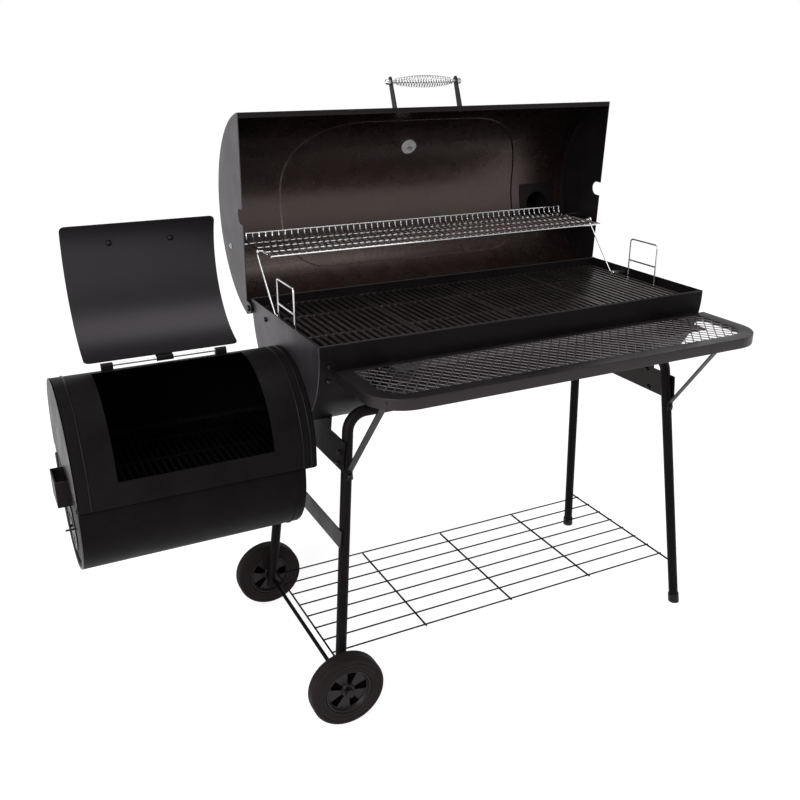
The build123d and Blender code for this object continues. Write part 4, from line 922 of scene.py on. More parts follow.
def tray_lifter():
    """A wire loop whose feet turn into the tray, with two rungs."""
    points = [
        at(LIFTER_X + LIFTER_FOOT, LIFTER_FRONT, LIFTER_STUB),
        at(LIFTER_X, LIFTER_FRONT, LIFTER_STUB),
        at(LIFTER_X, LIFTER_FRONT, LIFTER_TOP),
        at(LIFTER_X, LIFTER_BACK, LIFTER_TOP),
        at(LIFTER_X, LIFTER_BACK, LIFTER_STUB),
        at(LIFTER_X + LIFTER_FOOT, LIFTER_BACK, LIFTER_STUB),
    ]
    loop = bent_wire("tray_lifter", points, LIFTER_WIRE, LIFTER_BEND, sides=12)
    level = LIFTER_TOP - LIFTER_STEP
    rung = bent_wire(
        "tray_lifter_rung",
        [at(LIFTER_X, LIFTER_FRONT, level), at(LIFTER_X, LIFTER_BACK, level)],
        LIFTER_WIRE,
    )
    repeat(rung, 2, (0.0, 0.0, -LIFTER_STEP * MM))
    left = weld("tray_lifter_left", [loop, rung])
    right = flip(left, "tray_lifter_right", MIDDLE)
    fit(weld("tray_lifter_pair", [left, right]), "tray", "chrome_wire", CHROME, "tray_lifters")


warming_rack()
rack_link()
tray_lifter()

# Cooking grates: flat-topped bars with soft edges over lower cross bars

NOTCH_LOW = 314.0
NOTCH_HIGH = 338.0


def bar(name, low, high, soft):
    """A square bar whose upper edges are softened."""
    centre = (low + high) / 2
    piece = begin(name, bpy.ops.mesh.primitive_cube_add, size=1.0, location=centre)
    bpy.ops.transform.resize(value=high - low, center_override=centre)
    choose(piece, "EDGE", lambda edge: min(corner.co.z for corner in edge.verts) > centre.z)
    bpy.ops.mesh.bevel(offset=soft * MM, segments=3)
    return close(piece)


def grate(node, body, paint, edge, width, slots, crosses, dip, soft, notch=0):
    """A grate in the place of its solid: bars from front to back in an edge frame."""
    low, high = (Vector(corner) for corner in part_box(node))
    gap = ((high.x - low.x) / MM - 2 * edge - (slots - 1) * width) / slots
    bars = []

    def lay(name, x0, x1, y0, y1, top):
        start = Vector((x0, y0, low.z))
        bars.append(bar(name, start, Vector((x1, y1, top)), soft))
        return bars[-1]

    first = low.x + (edge + gap) * MM
    inner = lay(node + "_bars", first, first + width * MM, low.y, high.y, high.z)
    repeat(inner, slots - 1, ((gap + width) * MM, 0.0, 0.0))
    for side, x0, x1 in ((-1, low.x, low.x + edge * MM), (1, high.x - edge * MM, high.x)):
        if side == notch:
            lay(node + "_side", x0, x1, low.y, at(0, NOTCH_LOW, 0).y, high.z)
            lay(node + "_side", x0, x1, at(0, NOTCH_HIGH, 0).y, high.y, high.z)
        else:
            lay(node + "_side", x0, x1, low.y, high.y, high.z)
    centre = (low.y + high.y) / 2
    rows = [low.y + edge * MM / 2, high.y - edge * MM / 2]
    rows += [centre + cross * MM for cross in crosses]
    for y in rows:
        half = (edge if y in rows[:2] else width) * MM / 2
        inner_low, inner_high = low.x + soft * MM, high.x - soft * MM
        lay(node + "_cross", inner_low, inner_high, y - half, y + half, high.z - dip * MM)
    fit(weld(node + "_cast", bars), body, "grate_enamel", paint, node)


for number, notch in ((1, -1), (2, 0), (3, 0), (4, 1)):
    grate(
        f"cooking_grate_{number}", "chamber", GRATE_ENAMEL, edge=10.0, width=9.0, slots=13,
        crosses=(-83.0, 83.0), dip=2.5, soft=1.6, notch=notch,
    )
# The firebox grate is near-black: painted shade inside the box
grate(
    "firebox_grate", "drawer", SHADED_GRATE, edge=8.0, width=5.0, slots=29,
    crosses=(-110.0, 0.0, 110.0), dip=2.0, soft=1.0,
)

# Shapes shared by the fittings

BOLT_DOME = 0.7


def block(name, centre, axes, size):
    """A box set along three directions, still open for editing."""
    return begin(
        name,
        bpy.ops.mesh.primitive_cube_add,
        size=1.0,
        location=centre,
        rotation=Matrix(axes).transposed().to_euler(),
        scale=[length * MM for length in size],
    )


def bolt(name, place, way, radius, height):
    """A round bolt head with a domed edge."""
    head = Wire(name, place, way, radius, 16).run(height)
    bpy.ops.mesh.bevel(offset=height * BOLT_DOME * MM, segments=3)
    return head.done()


# Wheels: a ribbed tyre on a dished hub with five windows

HUB_RADIUS = 56.0
HUB_FACE = 17.5
HUB_WINDOWS = 5
HUB_SIDES = 60
HUB_TURN = math.radians(15)
WINDOW_HALF = math.radians(15.5)
HUB_RIM_STEPS = ((1.5, -1.0), (2.0, 0.0), (1.5, 2.5), (1.5, 4.0), (2.0, 1.5))
HUB_BOSS_STEPS = ((30.0, 0.0), (2.5, -4.0), (2.0, -0.5))
HUB_BORE_EDGE = 3.5
HUB_BORE_DEPTH = 5.0
WINDOW_CUT = 8.5
WINDOW_INNER = 25.0
WINDOW_OUTER = 44.0
TYRE_SHOULDER = 7.0
TYRE_SEAT_ROUND = 4.0
TREAD_CUTS = 12
RIB_EVERY = 4
RIB_DEPTH = 1.6
WALL_CUTS = 11
WALL_LINES = (0.1, -0.22)
WALL_LINE_REACH = 0.9
WALL_LINE_DEPTH = 1.2
NEAR = 0.01


def tyre(end):
    """A ribbed ring of rubber, spun from its section. Gives the wheel's middle."""
    low, high = (Vector(corner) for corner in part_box("tyre_" + end))
    centre = (low + high) / 2
    outer = (high.z - low.z) / 2
    depth = outer - (HUB_RADIUS + 0.1) * MM
    spot = centre + Z_AXIS * (outer - depth / 2)
    piece = begin(
        "tyre_round_" + end,
        bpy.ops.mesh.primitive_plane_add,
        size=1.0,
        location=spot,
        rotation=(0.0, math.radians(90), 0.0),
    )
    bpy.ops.transform.resize(value=(1.0, high.y - low.y, depth), center_override=spot)
    choose(piece, "VERT", lambda corner: corner.co.z > spot.z)
    bpy.ops.mesh.bevel(offset=TYRE_SHOULDER * MM, segments=5, affect="VERTICES")
    choose(piece, "VERT", lambda corner: corner.co.z < spot.z - depth * 0.45)
    bpy.ops.mesh.bevel(offset=TYRE_SEAT_ROUND * MM, segments=4, affect="VERTICES")
    top = spot.z + depth / 2 - NEAR * MM
    choose(piece, "EDGE", lambda edge: min(corner.co.z for corner in edge.verts) > top)
    bpy.ops.mesh.subdivide(number_cuts=TREAD_CUTS)
    tread = (high.y - low.y - 2 * TYRE_SHOULDER * MM) / (TREAD_CUTS + 1)
    half_tread = (TREAD_CUTS + 1) / 2

    def in_rib(corner):
        place = round((corner.co.y - centre.y) / tread + half_tread)
        return corner.co.z > top and place % RIB_EVERY == 1

    choose(piece, "VERT", in_rib)
    bpy.ops.transform.translate(value=(0.0, 0.0, -RIB_DEPTH * MM))
    for side in (-1, 1):
        face_y = centre.y + side * (high.y - low.y) / 2
        choose(
            piece,
            "EDGE",
            lambda edge: all(abs(corner.co.y - face_y) < NEAR * MM for corner in edge.verts),
        )
        bpy.ops.mesh.subdivide(number_cuts=WALL_CUTS)
        lines = [spot.z + depth * line for line in WALL_LINES]
        choose(
            piece,
            "VERT",
            lambda corner: abs(corner.co.y - face_y) < NEAR * MM
            and min(abs(corner.co.z - line) for line in lines) < WALL_LINE_REACH * MM,
        )
        bpy.ops.transform.translate(value=(0.0, -side * WALL_LINE_DEPTH * MM, 0.0))
    bpy.ops.mesh.select_all(action="SELECT")
    bpy.ops.mesh.delete(type="ONLY_FACE")
    bpy.ops.mesh.select_all(action="SELECT")
    bpy.ops.mesh.spin(steps=72, angle=2 * math.pi, center=centre, axis=Y_AXIS)
    bpy.ops.mesh.select_all(action="SELECT")
    bpy.ops.mesh.remove_doubles(threshold=NEAR * MM)
    close(piece)
    fit(piece, end + "_wheel", "tyre", TYRE, "tyre_" + end)
    return centre


def in_window(face, centre):
    """Whether a face of the hub's web lies in one of its windows."""
    arm = middle(face) - centre
    reach = math.hypot(arm.x, arm.z) / MM
    step = 2 * math.pi / HUB_WINDOWS
    angle = (math.atan2(arm.z, arm.x) - math.pi / 2 + HUB_TURN + step / 2) % step - step / 2
    return WINDOW_INNER < reach < WINDOW_OUTER and abs(angle) < WINDOW_HALF


def hub(end, centre):
    """Two dished faces back to back, with the windows pushed in."""
    face = centre - Y_AXIS * HUB_FACE * MM
    piece = begin(
        "hub_face_" + end,
        bpy.ops.mesh.primitive_circle_add,
        vertices=HUB_SIDES,
        radius=HUB_RADIUS * MM,
        fill_type="NGON",
        location=face,
        rotation=(math.radians(90), 0.0, 0.0),
    )
    for width, depth in HUB_RIM_STEPS + HUB_BOSS_STEPS:
        bpy.ops.mesh.inset(thickness=width * MM)
        bpy.ops.transform.translate(value=(0.0, depth * MM, 0.0))
    bpy.ops.mesh.inset(thickness=HUB_BORE_EDGE * MM)
    bpy.ops.mesh.extrude_region_move(TRANSFORM_OT_translate={"value": (0.0, HUB_BORE_DEPTH * MM, 0.0)})
    choose(piece, "FACE", lambda part: in_window(part, centre))
    bpy.ops.mesh.extrude_region_move(TRANSFORM_OT_translate={"value": (0.0, WINDOW_CUT * MM, 0.0)})
    choose(piece, "EDGE", lambda edge: edge.is_boundary)
    bpy.ops.mesh.extrude_region_move(TRANSFORM_OT_translate={"value": (0.0, HUB_FACE * MM, 0.0)})
    close(piece)
    sharp = {"limit_method": "ANGLE", "angle_limit": math.radians(40)}
    modify(piece, "BEVEL", width=0.8 * MM, segments=2, **sharp)
    back = flip(piece, "hub_back_" + end, centre, 1)
    whole = weld("wheel_hub_" + end + "_dished", [piece, back])
    only(whole)
    bpy.ops.object.shade_smooth_by_angle(angle=math.radians(35))
    fit(whole, end + "_wheel", "black_plastic", HUB_PLASTIC, "wheel_hub_" + end)


for wheel_end in ("front", "rear"):
    hub(wheel_end, tyre(wheel_end))

# Handles: coil grips between round-topped straps

HINGE = (442.0, -24.0)
LID_OPEN = math.radians(87)
LID_BACK = -218.0
LID_UP = -32.99
DOOR_HINGE_ANGLE = math.radians(106.5)
DOOR_HINGE_REACH = 189.0
DOOR_OPEN = math.radians(153.5)
DOOR_CENTRE = -256.0
DOOR_INNER = 182.3
DOOR_OUTER = 184.3
FITTINGS_X = 509.5
LID_HANDLE_ANGLE = math.radians(24)
LID_HANDLE_SPACING = 187.0
DOOR_HANDLE_ANGLE = math.radians(12)
DOOR_HANDLE_SPACING = 135.0
STRAP = (3.0, 16.0)
STRAP_FLARE = 1.35
STRAP_ROUND = 7.6
STRAP_FOOT = (16.0, 24.0, 3.0)
STRAP_FOOT_ROUND = 4.0
COIL_WIRE = 1.5
COIL_STEPS = 20
GRIP_DROP = 13.0
GRIP_WIDEST = 14.4
GRIP_NARROWEST = 6.4
GRIP_BULGE = 0.8


class Swing:
    """A curved skin that has been swung open: places on it by x, angle and radius."""

    def __init__(self, hinge, opened, back, up):
        self.hinge = hinge
        self.cos = math.cos(opened)
        self.sin = math.sin(opened)
        self.back = back
        self.up = up

    def place(self, x, angle, radius):
        """The angle is measured up from the side that lies in front when closed."""
        back = self.back - radius * math.cos(angle)
        up = self.up + radius * math.sin(angle)
        y = self.hinge[0] + back * self.cos + up * self.sin
        z = self.hinge[1] - back * self.sin + up * self.cos
        return at(x, y, z)

    def out(self, angle):
        return (self.place(0.0, angle, 2.0) - self.place(0.0, angle, 1.0)).normalized()


lid = Swing(HINGE, LID_OPEN, LID_BACK, LID_UP)
DOOR_HINGE = (
    FIREBOX_AXIS[0] - DOOR_HINGE_REACH * math.cos(DOOR_HINGE_ANGLE),
    FIREBOX_AXIS[1] + DOOR_HINGE_REACH * math.sin(DOOR_HINGE_ANGLE),
)
door = Swing(
    DOOR_HINGE, DOOR_OPEN, FIREBOX_AXIS[0] - DOOR_HINGE[0], FIREBOX_AXIS[1] - DOOR_HINGE[1]
)
# The door's inner side is a lighter, violet black: painted light for the light it catches when open
DOOR_LIT_SHADES = (rgb(0.0062, 0.0054, 0.0062), rgb(0.0105, 0.0092, 0.0105))


def door_skin():
    """Outside, the door is as dull as the hood. Inside, it shines a little, and its lighter, violet black
    there is painted light.
    """
    paint = satin_paint("door_skin", BLACKS, HOOD_ROUGH, HOOD_GLOSS)
    shine_and_painted_light = {"Base Color": paint.mix(paint.noise(*CLOUD), *DOOR_LIT_SHADES), "Roughness": 0.38}
    shine_and_painted_light["Normal"] = paint.bump(paint.noise(*GRAIN), 0.1, GRAIN_DEPTH)
    shine_and_painted_light.update({"Specular IOR Level": 0.34, "Specular Tint": DOOR_TINT})
    paint.blend(inside_of(paint, door.place(0.0, 0.0, 0.0), DOOR_OUTER), shine_and_painted_light)
    return paint.material


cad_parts["firebox_door"].data.materials[0] = door_skin()


def coil_grip(name, centre, length, turns):
    """A barrel-shaped coil of wire along x."""
    steps = turns * COIL_STEPS
    curve = bpy.data.curves.new(name, "CURVE")
    curve.dimensions = "3D"
    curve.bevel_depth = COIL_WIRE * MM
    curve.bevel_resolution = 2
    spline = curve.splines.new("POLY")
    spline.points.add(steps)
    for step, point in enumerate(spline.points):
        share = step / steps
        swell = (GRIP_WIDEST - GRIP_NARROWEST) * math.sin(math.pi * share) ** GRIP_BULGE
        radius = (GRIP_NARROWEST + swell) * MM
        angle = 2 * math.pi * turns * share
        offset = Vector(((share - 0.5) * length * MM, radius * math.cos(angle), radius * math.sin(angle)))
        point.co = (*(centre + offset), 1.0)
    coil = bpy.data.objects.new(name, curve)
    bpy.context.scene.collection.objects.link(coil)
    only(coil)
    bpy.ops.object.convert(target="MESH")
    coil = bpy.context.object
    bpy.ops.object.shade_smooth()
    return coil


def runs_along(edge, way):
    """Whether an edge points along a direction."""
    return abs((edge.verts[0].co - edge.verts[1].co).normalized().dot(way)) > 0.9


def strap(name, skin, x, angle, radius, reach):
    """A flat strap that stands on a skin, with a round top and a foot."""
    out = skin.out(angle)
    along = out.cross(X_AXIS)
    base = skin.place(x, angle, radius)
    stand = block(name, base + out * reach / 2 * MM, (X_AXIS, along, out), (*STRAP, reach))
    top = base + out * reach * MM
    near_top = (STRAP[1] / 2 + 1.0) * MM
    choose(stand, "VERT", lambda corner: (corner.co - base).dot(out) < reach * 0.5 * MM)
    bpy.ops.transform.resize(value=(1.0, STRAP_FLARE, STRAP_FLARE), center_override=base)
    choose(
        stand,
        "EDGE",
        lambda edge: (middle(edge) - top).length < near_top and runs_along(edge, X_AXIS),
    )
    bpy.ops.mesh.bevel(offset=STRAP_ROUND * MM, segments=6)
    close(stand)
    foot_centre = base + out * STRAP_FOOT[2] / 2 * MM
    foot = block(name + "_foot", foot_centre, (X_AXIS, along, out), STRAP_FOOT)
    choose(foot, "EDGE", lambda edge: runs_along(edge, out))
    bpy.ops.mesh.bevel(offset=STRAP_FOOT_ROUND * MM, segments=4)
    return [stand, close(foot)]


def handle(prefix, skin, body, x, angle, radius, spacing, reach, grip, turns, nodes):
    """Two straps and a coil grip on a curved skin."""
    straps = []
    for side in (-1, 1):
        straps += strap(prefix + "_strap", skin, x + side * spacing / 2, angle, radius, reach)
    fit(weld(prefix + "_strap_pair", straps), body, "black_paint", BLACK_PAINT, nodes[0])
    centre = skin.place(x, angle, radius + reach - GRIP_DROP)
    coil = coil_grip(prefix + "_coil", centre, grip - 2 * COIL_WIRE, turns)
    fit(coil, body, "chrome_wire", CHROME, nodes[1])


handle(
    "lid_handle", lid, "lid", FITTINGS_X, LID_HANDLE_ANGLE, LID_RADIUS, LID_HANDLE_SPACING,
    reach=88.0, grip=165.0, turns=22, nodes=("handle_straps", "handle_grip"),
)
handle(
    "door_handle", door, "door", DOOR_CENTRE, DOOR_HANDLE_ANGLE, DOOR_OUTER, DOOR_HANDLE_SPACING,
    reach=58.0, grip=112.0, turns=16, nodes=("door_handle_straps", "door_handle_grip"),
)

# Rolled edges, beads and folded flanges of the sheet metal


def hoop(name, x, radius, drop, wire):
    """A bead around the firebox's hood: up the front, over the top and down the back."""
    start = at(x, FIREBOX_AXIS[0] - radius, FIREBOX_AXIS[1] - drop)
    bead = Wire(name, start, Z_AXIS, wire).run(drop)
    return bead.turn(X_AXIS * -1.0, math.pi, radius, 40).run(drop).done()


HOOD_DROP = 36.0
HOOD_BEADS = (-474.0, -30.0, -12.0)
HOOD_JOINT = -498.4
BEAD_WIRE = 2.0
BEAD_PROUD = 0.1
hood_beads = [
    hoop("hood_bead", x, FIREBOX_RADIUS + BEAD_PROUD, HOOD_DROP, BEAD_WIRE) for x in HOOD_BEADS
]
fit(weld("firebox_hood_beads", hood_beads), "chamber", "black_paint", BLACK_PAINT)
# A near-black line sunk into the hood where it meets the drawer's end: painted shade for the gap
joint = hoop("firebox_hood_joint", HOOD_JOINT, FIREBOX_RADIUS - 0.9, drop=22.0, wire=1.5)
fit(joint, "chamber", "black_paint", SHADE_BLACK)

# A ledge closes the gap between the drawer and the firebox's right end, in near-black painted shade, and
# a near-black strip in front is a painted shadow under the hood's edge

LEDGE = (at(-20.5, 37.0, -281.0), at(-2.0, 393.0, -279.0))
HOOD_SHADOW_LINE = (at(-497.0, 36.6, -282.2), at(-3.0, 36.6, -282.2))
fit(bar("firebox_end_ledge", *LEDGE, soft=0.6), "chamber", "black_paint", SHADE_BLACK)
fit(bent_wire("hood_edge_painted_shadow", HOOD_SHADOW_LINE, radius=1.4, sides=8), "chamber", "black_paint", SHADE_BLACK)

# The drawer's left end: a rolled rim around a set-back disc. The rim takes the lighter side black, which
# is painted light, and a near-black line at the disc's edge is painted shade

DRAWER_AXIS = (215.0, -315.0)
DRAWER_RADIUS = 165.0
DRAWER_DISC = 148.0
DRAWER_END = -499.0
DRAWER_TOP = 30.0
DRAWER_BEAD = -40.0
DRAWER_RIM = 3.0


def drawer_arc(name, x, radius, wire, rise):
    """A half hoop under the drawer's axis, with short straight ends."""
    start = at(x, DRAWER_AXIS[0] - radius, DRAWER_AXIS[1] + rise)
    arc = Wire(name, start, Z_AXIS * -1.0, wire).run(rise)
    return arc.turn(X_AXIS, math.pi, radius, 36).run(rise).done()


end_rim = drawer_arc(
    "drawer_end_rim", DRAWER_END - 1.0, DRAWER_RADIUS - DRAWER_RIM, DRAWER_RIM, DRAWER_TOP
)
disc_shade_line = drawer_arc("drawer_disc_painted_shade", DRAWER_END + 0.4, DRAWER_DISC, wire=2.2, rise=DRAWER_TOP)
right_bead = drawer_arc(
    "drawer_bead_right", DRAWER_BEAD, DRAWER_RADIUS + BEAD_PROUD, BEAD_WIRE, DRAWER_TOP - 6.0
)
# The rim is painted light, and the line at the disc is painted shade
for arc, arc_paint in ((end_rim, LIT_SIDE_PAINT), (disc_shade_line, SHADE_BLACK), (right_bead, MATT_BLACK)):
    fit(arc, "drawer", "black_paint", arc_paint)

# Rims of the chamber and flanges of the lid

RIM_WIRE = 2.2
RIM_DROP = 0.6
RIM_INSET = 1.0
RIM_END = 2.0
rims = []
for y in (RIM_INSET, CHAMBER_DEPTH - RIM_INSET):
    ends = [at(RIM_END, y, -RIM_DROP), at(CHAMBER_LENGTH - RIM_END, y, -RIM_DROP)]
    rims.append(bent_wire("rim", ends, RIM_WIRE))
fit(weld("chamber_rims", rims), "chamber", "black_paint", SHELF_PAINT)

FLANGE_SET_IN = 3.0
FLANGE_WIDTH = 22.0
FLANGE_THICK = 1.6
FLANGE_TOP = math.radians(78)
FLANGE_LOW = math.radians(-52)


def lid_flange(name, x):
    """A flat ring of sheet along the inside of a lid end, under the lid's skin."""
    radius = (LID_RADIUS - FLANGE_SET_IN - FLANGE_WIDTH / 2) * MM
    axis = Vector((at(x, 0.0, 0.0).x, LID_AXIS.y, LID_AXIS.z))
    arm = Vector((0.0, math.cos(FLANGE_LOW), math.sin(FLANGE_LOW)))
    piece = begin(
        name,
        bpy.ops.mesh.primitive_plane_add,
        size=1.0,
        location=axis + arm * radius,
        rotation=Matrix((X_AXIS, arm, X_AXIS.cross(arm))).transposed().to_euler(),
    )
    width = FLANGE_WIDTH * MM
    scale = (FLANGE_THICK * MM, width, width)
    bpy.ops.transform.resize(value=scale, center_override=axis + arm * radius)
    bpy.ops.mesh.spin(steps=36, angle=FLANGE_LOW - FLANGE_TOP, center=axis, axis=X_AXIS)
    return close(piece)


FLANGE_OUT = 4.6
flanges = [lid_flange("flange", x) for x in (-FLANGE_OUT, CHAMBER_LENGTH + FLANGE_OUT)]
fit(weld("lid_end_flanges", flanges), "lid", "black_paint", BLACK_PAINT)

# Struts: flat bars from the front legs to the shelf's front edge

STRUT = (16.0, 3.0)
STRUT_FOOT_DROP = 298.0
STRUT_FOOT = 20.0
STRUT_TOE = 14.0
STRUT_BEND = 5.0
STRUT_NOSE = -200.0
STRUT_TOP = -65.5


def shelf_strut(name, side, drift):
    """A strut that lies against a leg below and under the shelf's mesh above."""
    off = Vector((0.0, -(TUBE_RADIUS + STRUT[1] / 2 + 0.3), 0.0)) * MM
    foot = leg_point(side, 1, STRUT_FOOT_DROP + STRUT_FOOT) + off
    knee = leg_point(side, 1, STRUT_FOOT_DROP) + off
    foot.x = knee.x
    top = at(0.0, STRUT_NOSE + STRUT_FOOT, STRUT_TOP)
    top.x = knee.x + drift * MM
    end = top - Y_AXIS * STRUT_TOE * MM
    strut = Strap(name, foot, knee - foot, *STRUT)
    return strut.through([knee, top, end], STRUT_BEND, 4).done()


STRUT_DRIFT = {-1: 4.0, 1: -30.0}
struts = [shelf_strut("strut", side, drift) for side, drift in STRUT_DRIFT.items()]
fit(weld("front_shelf_struts", struts), "chamber", "black_paint", BLACK_PAINT, "shelf_struts")
strut_bolts = []
for strut_side in STRUT_DRIFT:
    leg_middle = leg_point(strut_side, 1, STRUT_FOOT_DROP + STRUT_FOOT / 2)
    spot = leg_middle - Y_AXIS * (TUBE_RADIUS + STRUT[1] + 0.2) * MM
    strut_bolts.append(bolt("bolt", spot, Y_AXIS * -1.0, radius=6.0, height=5.0))
fit(weld("strut_bolts", strut_bolts), "chamber", "zinc", DARK_ZINC)

# Bolts: on the chamber's left end and the cradles, and behind the handles' straps

END_BOLT = at(-0.5, 335.4, -26.4)
LEFT_CRADLE_BOLTS = (at(52.6, 36.0, -259.0), at(49.8, 40.0, -287.0))
RIGHT_CRADLE_BOLTS = (at(990.4, 117.7, -238.2), at(995.2, 110.5, -287.5))
chamber_bolts = [bolt("bolt", END_BOLT, X_AXIS * -1.0, radius=6.0, height=5.0)]
for radius, spots in ((6.0, LEFT_CRADLE_BOLTS), (6.5, RIGHT_CRADLE_BOLTS)):
    chamber_bolts += [bolt("bolt", spot, X_AXIS * -1.0, radius, height=4.5) for spot in spots]
fit(weld("chamber_end_bolts", chamber_bolts), "chamber", "zinc", DARK_ZINC)


def handle_bolts(name, skin, body, x, angle, inner, spacing, radius, height):
    """The bolt heads of a handle, on the inner side of its skin."""
    heads = []
    for side in (-1, 1):
        spot = skin.place(x + side * spacing / 2, angle, inner)
        heads.append(bolt("bolt", spot, skin.out(angle) * -1.0, radius, height))
    fit(weld(name, heads), body, "zinc", DARK_ZINC)


handle_bolts(
    "door_handle_bolts", door, "door", DOOR_CENTRE, DOOR_HANDLE_ANGLE, DOOR_INNER, DOOR_HANDLE_SPACING,
    radius=6.5, height=5.0,
)
handle_bolts(
    "lid_handle_bolts", lid, "lid", FITTINGS_X, LID_HANDLE_ANGLE, LID_INNER, LID_HANDLE_SPACING,
    radius=6.0, height=4.0,
)

# Cap nuts on the ends of the handle rods

NUT_RADIUS = 7.0
NUT_HEIGHT = 7.5
NUT_OVERLAP = 2.0


def cap_nuts(name, node, body):
    low, high = (Vector(corner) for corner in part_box(node))
    spot = (low + high) / 2
    nuts = []
    for end, way in ((low.x, -1.0), (high.x, 1.0)):
        place = Vector((end - way * NUT_OVERLAP * MM, spot.y, spot.z))
        nuts.append(bolt("cap_nut", place, X_AXIS * way, NUT_RADIUS, NUT_HEIGHT))
    fit(weld(name, nuts), body, "zinc", CHROME)


cap_nuts("lid_handle_cap_nuts", "handle_rod", "lid")
cap_nuts("door_handle_cap_nuts", "door_handle_rod", "door")

# Bolts beside the shelf's left end, square to the barrel's wall

BARREL_MIDDLE = (220.0, -13.0)
BARREL_RADIUS = 220.0
SHELF_BOLT_X = 23.0
SHELF_BOLT_DROPS = (46.0, 80.0)
shelf_bolts = []
for drop in SHELF_BOLT_DROPS:
    up = -drop - BARREL_MIDDLE[1]
    back = -math.sqrt(BARREL_RADIUS**2 - up**2)
    wall = at(SHELF_BOLT_X, BARREL_MIDDLE[0] + back, -drop)
    shelf_bolts.append(bolt("bolt", wall, Vector((0.0, back, up)), radius=5.5, height=5.0))
fit(weld("shelf_end_bolts", shelf_bolts), "chamber", "zinc", DARK_ZINC)

# Washers where the rack's pivots come through the lid's ends

LID_OVERHANG = 8.0
LID_FACES = ((-LID_OVERHANG, -1.0), (CHAMBER_LENGTH + LID_OVERHANG, 1.0))
washers = [
    bolt("washer", at(face, *RACK_PIVOT), X_AXIS * way, radius=7.0, height=1.4) for face, way in LID_FACES
]
fit(weld("rack_pivot_washers", washers), "lid", "zinc", ZINC)

# The thermometer's pale dial, with a plain scale

DIAL_DEPTH = 7.0
DIAL_RADIUS = 28.6
DIAL_THICK = 0.5
SCALE_INNER = 20.5
SCALE_MARK = 5.5
SCALE_MARKS = 11
SCALE_SPAN = math.radians(270)
glass_low, glass_high = (Vector(corner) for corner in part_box("thermometer_glass"))
glass_middle = (glass_low + glass_high) / 2
dial_out = glass_middle - LID_AXIS
dial_out.x = 0.0
dial_out.normalize()
dial_middle = glass_middle - dial_out * DIAL_DEPTH * MM
dial_up = dial_out.cross(X_AXIS)
dial = Wire("thermometer_dial", dial_middle, dial_out, DIAL_RADIUS, sides=48).run(DIAL_THICK).done()
fit(dial, "lid", "zinc", DIAL_WHITE)
marks = []
for number in range(SCALE_MARKS):
    turn = SCALE_SPAN * (number / (SCALE_MARKS - 1) - 0.5)
    way = dial_up * math.cos(turn) + X_AXIS * math.sin(turn)
    start = dial_middle + (way * SCALE_INNER + dial_out * DIAL_THICK) * MM
    marks.append(Wire("mark", start, way, radius=0.6, sides=6).run(SCALE_MARK).done())
fit(weld("thermometer_scale", marks), "lid", "black_paint", BLACK_PAINT)

# Camera at the photograph's viewing angle
LENS_PIXELS = 896.42
FRAME_PIXELS = 800.0
SENSOR = 36.0
CENTRE_X = 407.84
CENTRE_Y = 412.50
LOOK = Vector((0.4196, 0.8270, -0.3744))
SIDE = Vector((0.8918, -0.4525, 0.0))
CAMERA_PLACE = at(-626.34, -1637.90, 561.69)

camera_data = bpy.data.cameras.new("camera")
camera_data.sensor_width = SENSOR
camera_data.lens = LENS_PIXELS / FRAME_PIXELS * SENSOR
camera_data.shift_x = (FRAME_PIXELS / 2 - CENTRE_X) / FRAME_PIXELS
camera_data.shift_y = (CENTRE_Y - FRAME_PIXELS / 2) / FRAME_PIXELS
camera = bpy.data.objects.new("camera", camera_data)
bpy.context.scene.collection.objects.link(camera)
turn = Matrix((SIDE, SIDE.cross(LOOK), -LOOK)).transposed().to_4x4()
camera.matrix_world = Matrix.Translation(CAMERA_PLACE) @ turn
bpy.context.scene.camera = camera

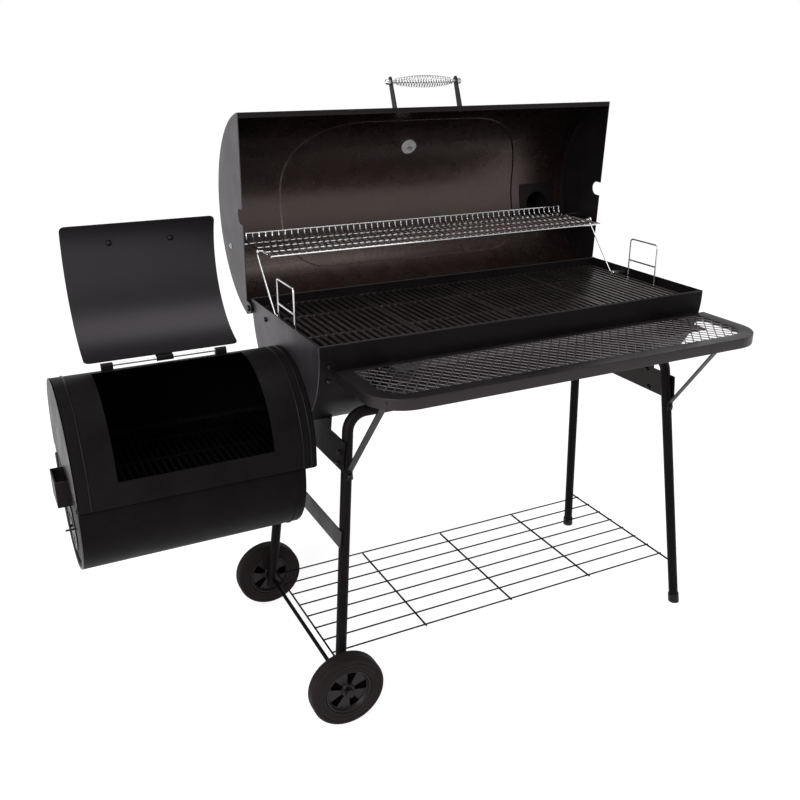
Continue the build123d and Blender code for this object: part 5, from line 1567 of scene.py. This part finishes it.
# Floor, background and soft light
FLOOR_SIZE = 30.0
FLOOR_GAP = 0.0005
FLOOR_GLOW = 0.80
ROOM_LIGHT = 0.45
CEILING_LOW = 0.12
CEILING_HIGH = 0.62
CEILING_SHADE = 0.30
bpy.ops.object.select_all(action="DESELECT")
bpy.ops.mesh.primitive_plane_add(size=FLOOR_SIZE, location=(0.0, 0.0, GROUND - FLOOR_GAP))
floor = bpy.context.object
floor.name = "floor"
floor_paint = Paint("floor_white")
floor_paint.set({"Base Color": rgb(0.5, 0.5, 0.5), "Roughness": 0.9, "Specular IOR Level": 0.0})


def seen(paint):
    """1 for rays that show the surroundings: straight, mirrored or through glass."""
    kinds = [
        paint.node("ShaderNodeLightPath", {}, {}, kind)
        for kind in ("Is Camera Ray", "Is Glossy Ray", "Is Transmission Ray")
    ]
    return paint.fade(kinds[0] + kinds[1] + kinds[2], 0.0, 1.0)


glow = seen(floor_paint) * FLOOR_GLOW
white = floor_paint.node("ShaderNodeCombineColor", {}, {0: glow, 1: glow, 2: glow})
floor_paint.set({"Emission Color": white, "Emission Strength": 1.0})
floor.data.materials.append(floor_paint.material)


class Sky(Paint):
    """The white room around the object."""

    def __init__(self, name):
        self.material = bpy.data.worlds.new(name)
        self.material.use_nodes = True
        self.tree = self.material.node_tree
        self.shader = self.tree.nodes["Background"]


sky = Sky("white_room")
bpy.context.scene.world = sky.material
way = sky.node("ShaderNodeTexCoord", {}, {}, "Generated")
height = sky.node("ShaderNodeSeparateXYZ", {}, {0: way}, 2)
ceiling = sky.fade(height, CEILING_LOW, CEILING_HIGH, 1.0, CEILING_SHADE)
strength = seen(sky) * (ceiling - ROOM_LIGHT) + ROOM_LIGHT
sky.set({"Color": rgb(1.0, 1.0, 1.0), "Strength": strength})


def softbox(name, size, place, target, power):
    """A soft lamp at a place, turned to a target."""
    lamp_data = bpy.data.lights.new(name, "AREA")
    lamp_data.shape = "RECTANGLE"
    lamp_data.size = size[0]
    lamp_data.size_y = size[1]
    lamp_data.energy = power
    lamp = bpy.data.objects.new(name, lamp_data)
    bpy.context.scene.collection.objects.link(lamp)
    lamp.location = place
    lamp.rotation_euler = (Vector(target) - Vector(place)).to_track_quat("-Z", "Y").to_euler()


softbox("top_light", size=(2.5, 2.0), place=(0.3, -0.6, 3.6), target=(0.3, 0.0, 0.8), power=40.0)
softbox("left_light", size=(1.4, 1.8), place=(-2.2, -1.9, 1.9), target=(-0.1, 0.1, 0.9), power=60.0)

bpy.context.scene.view_settings.view_transform = "Standard"
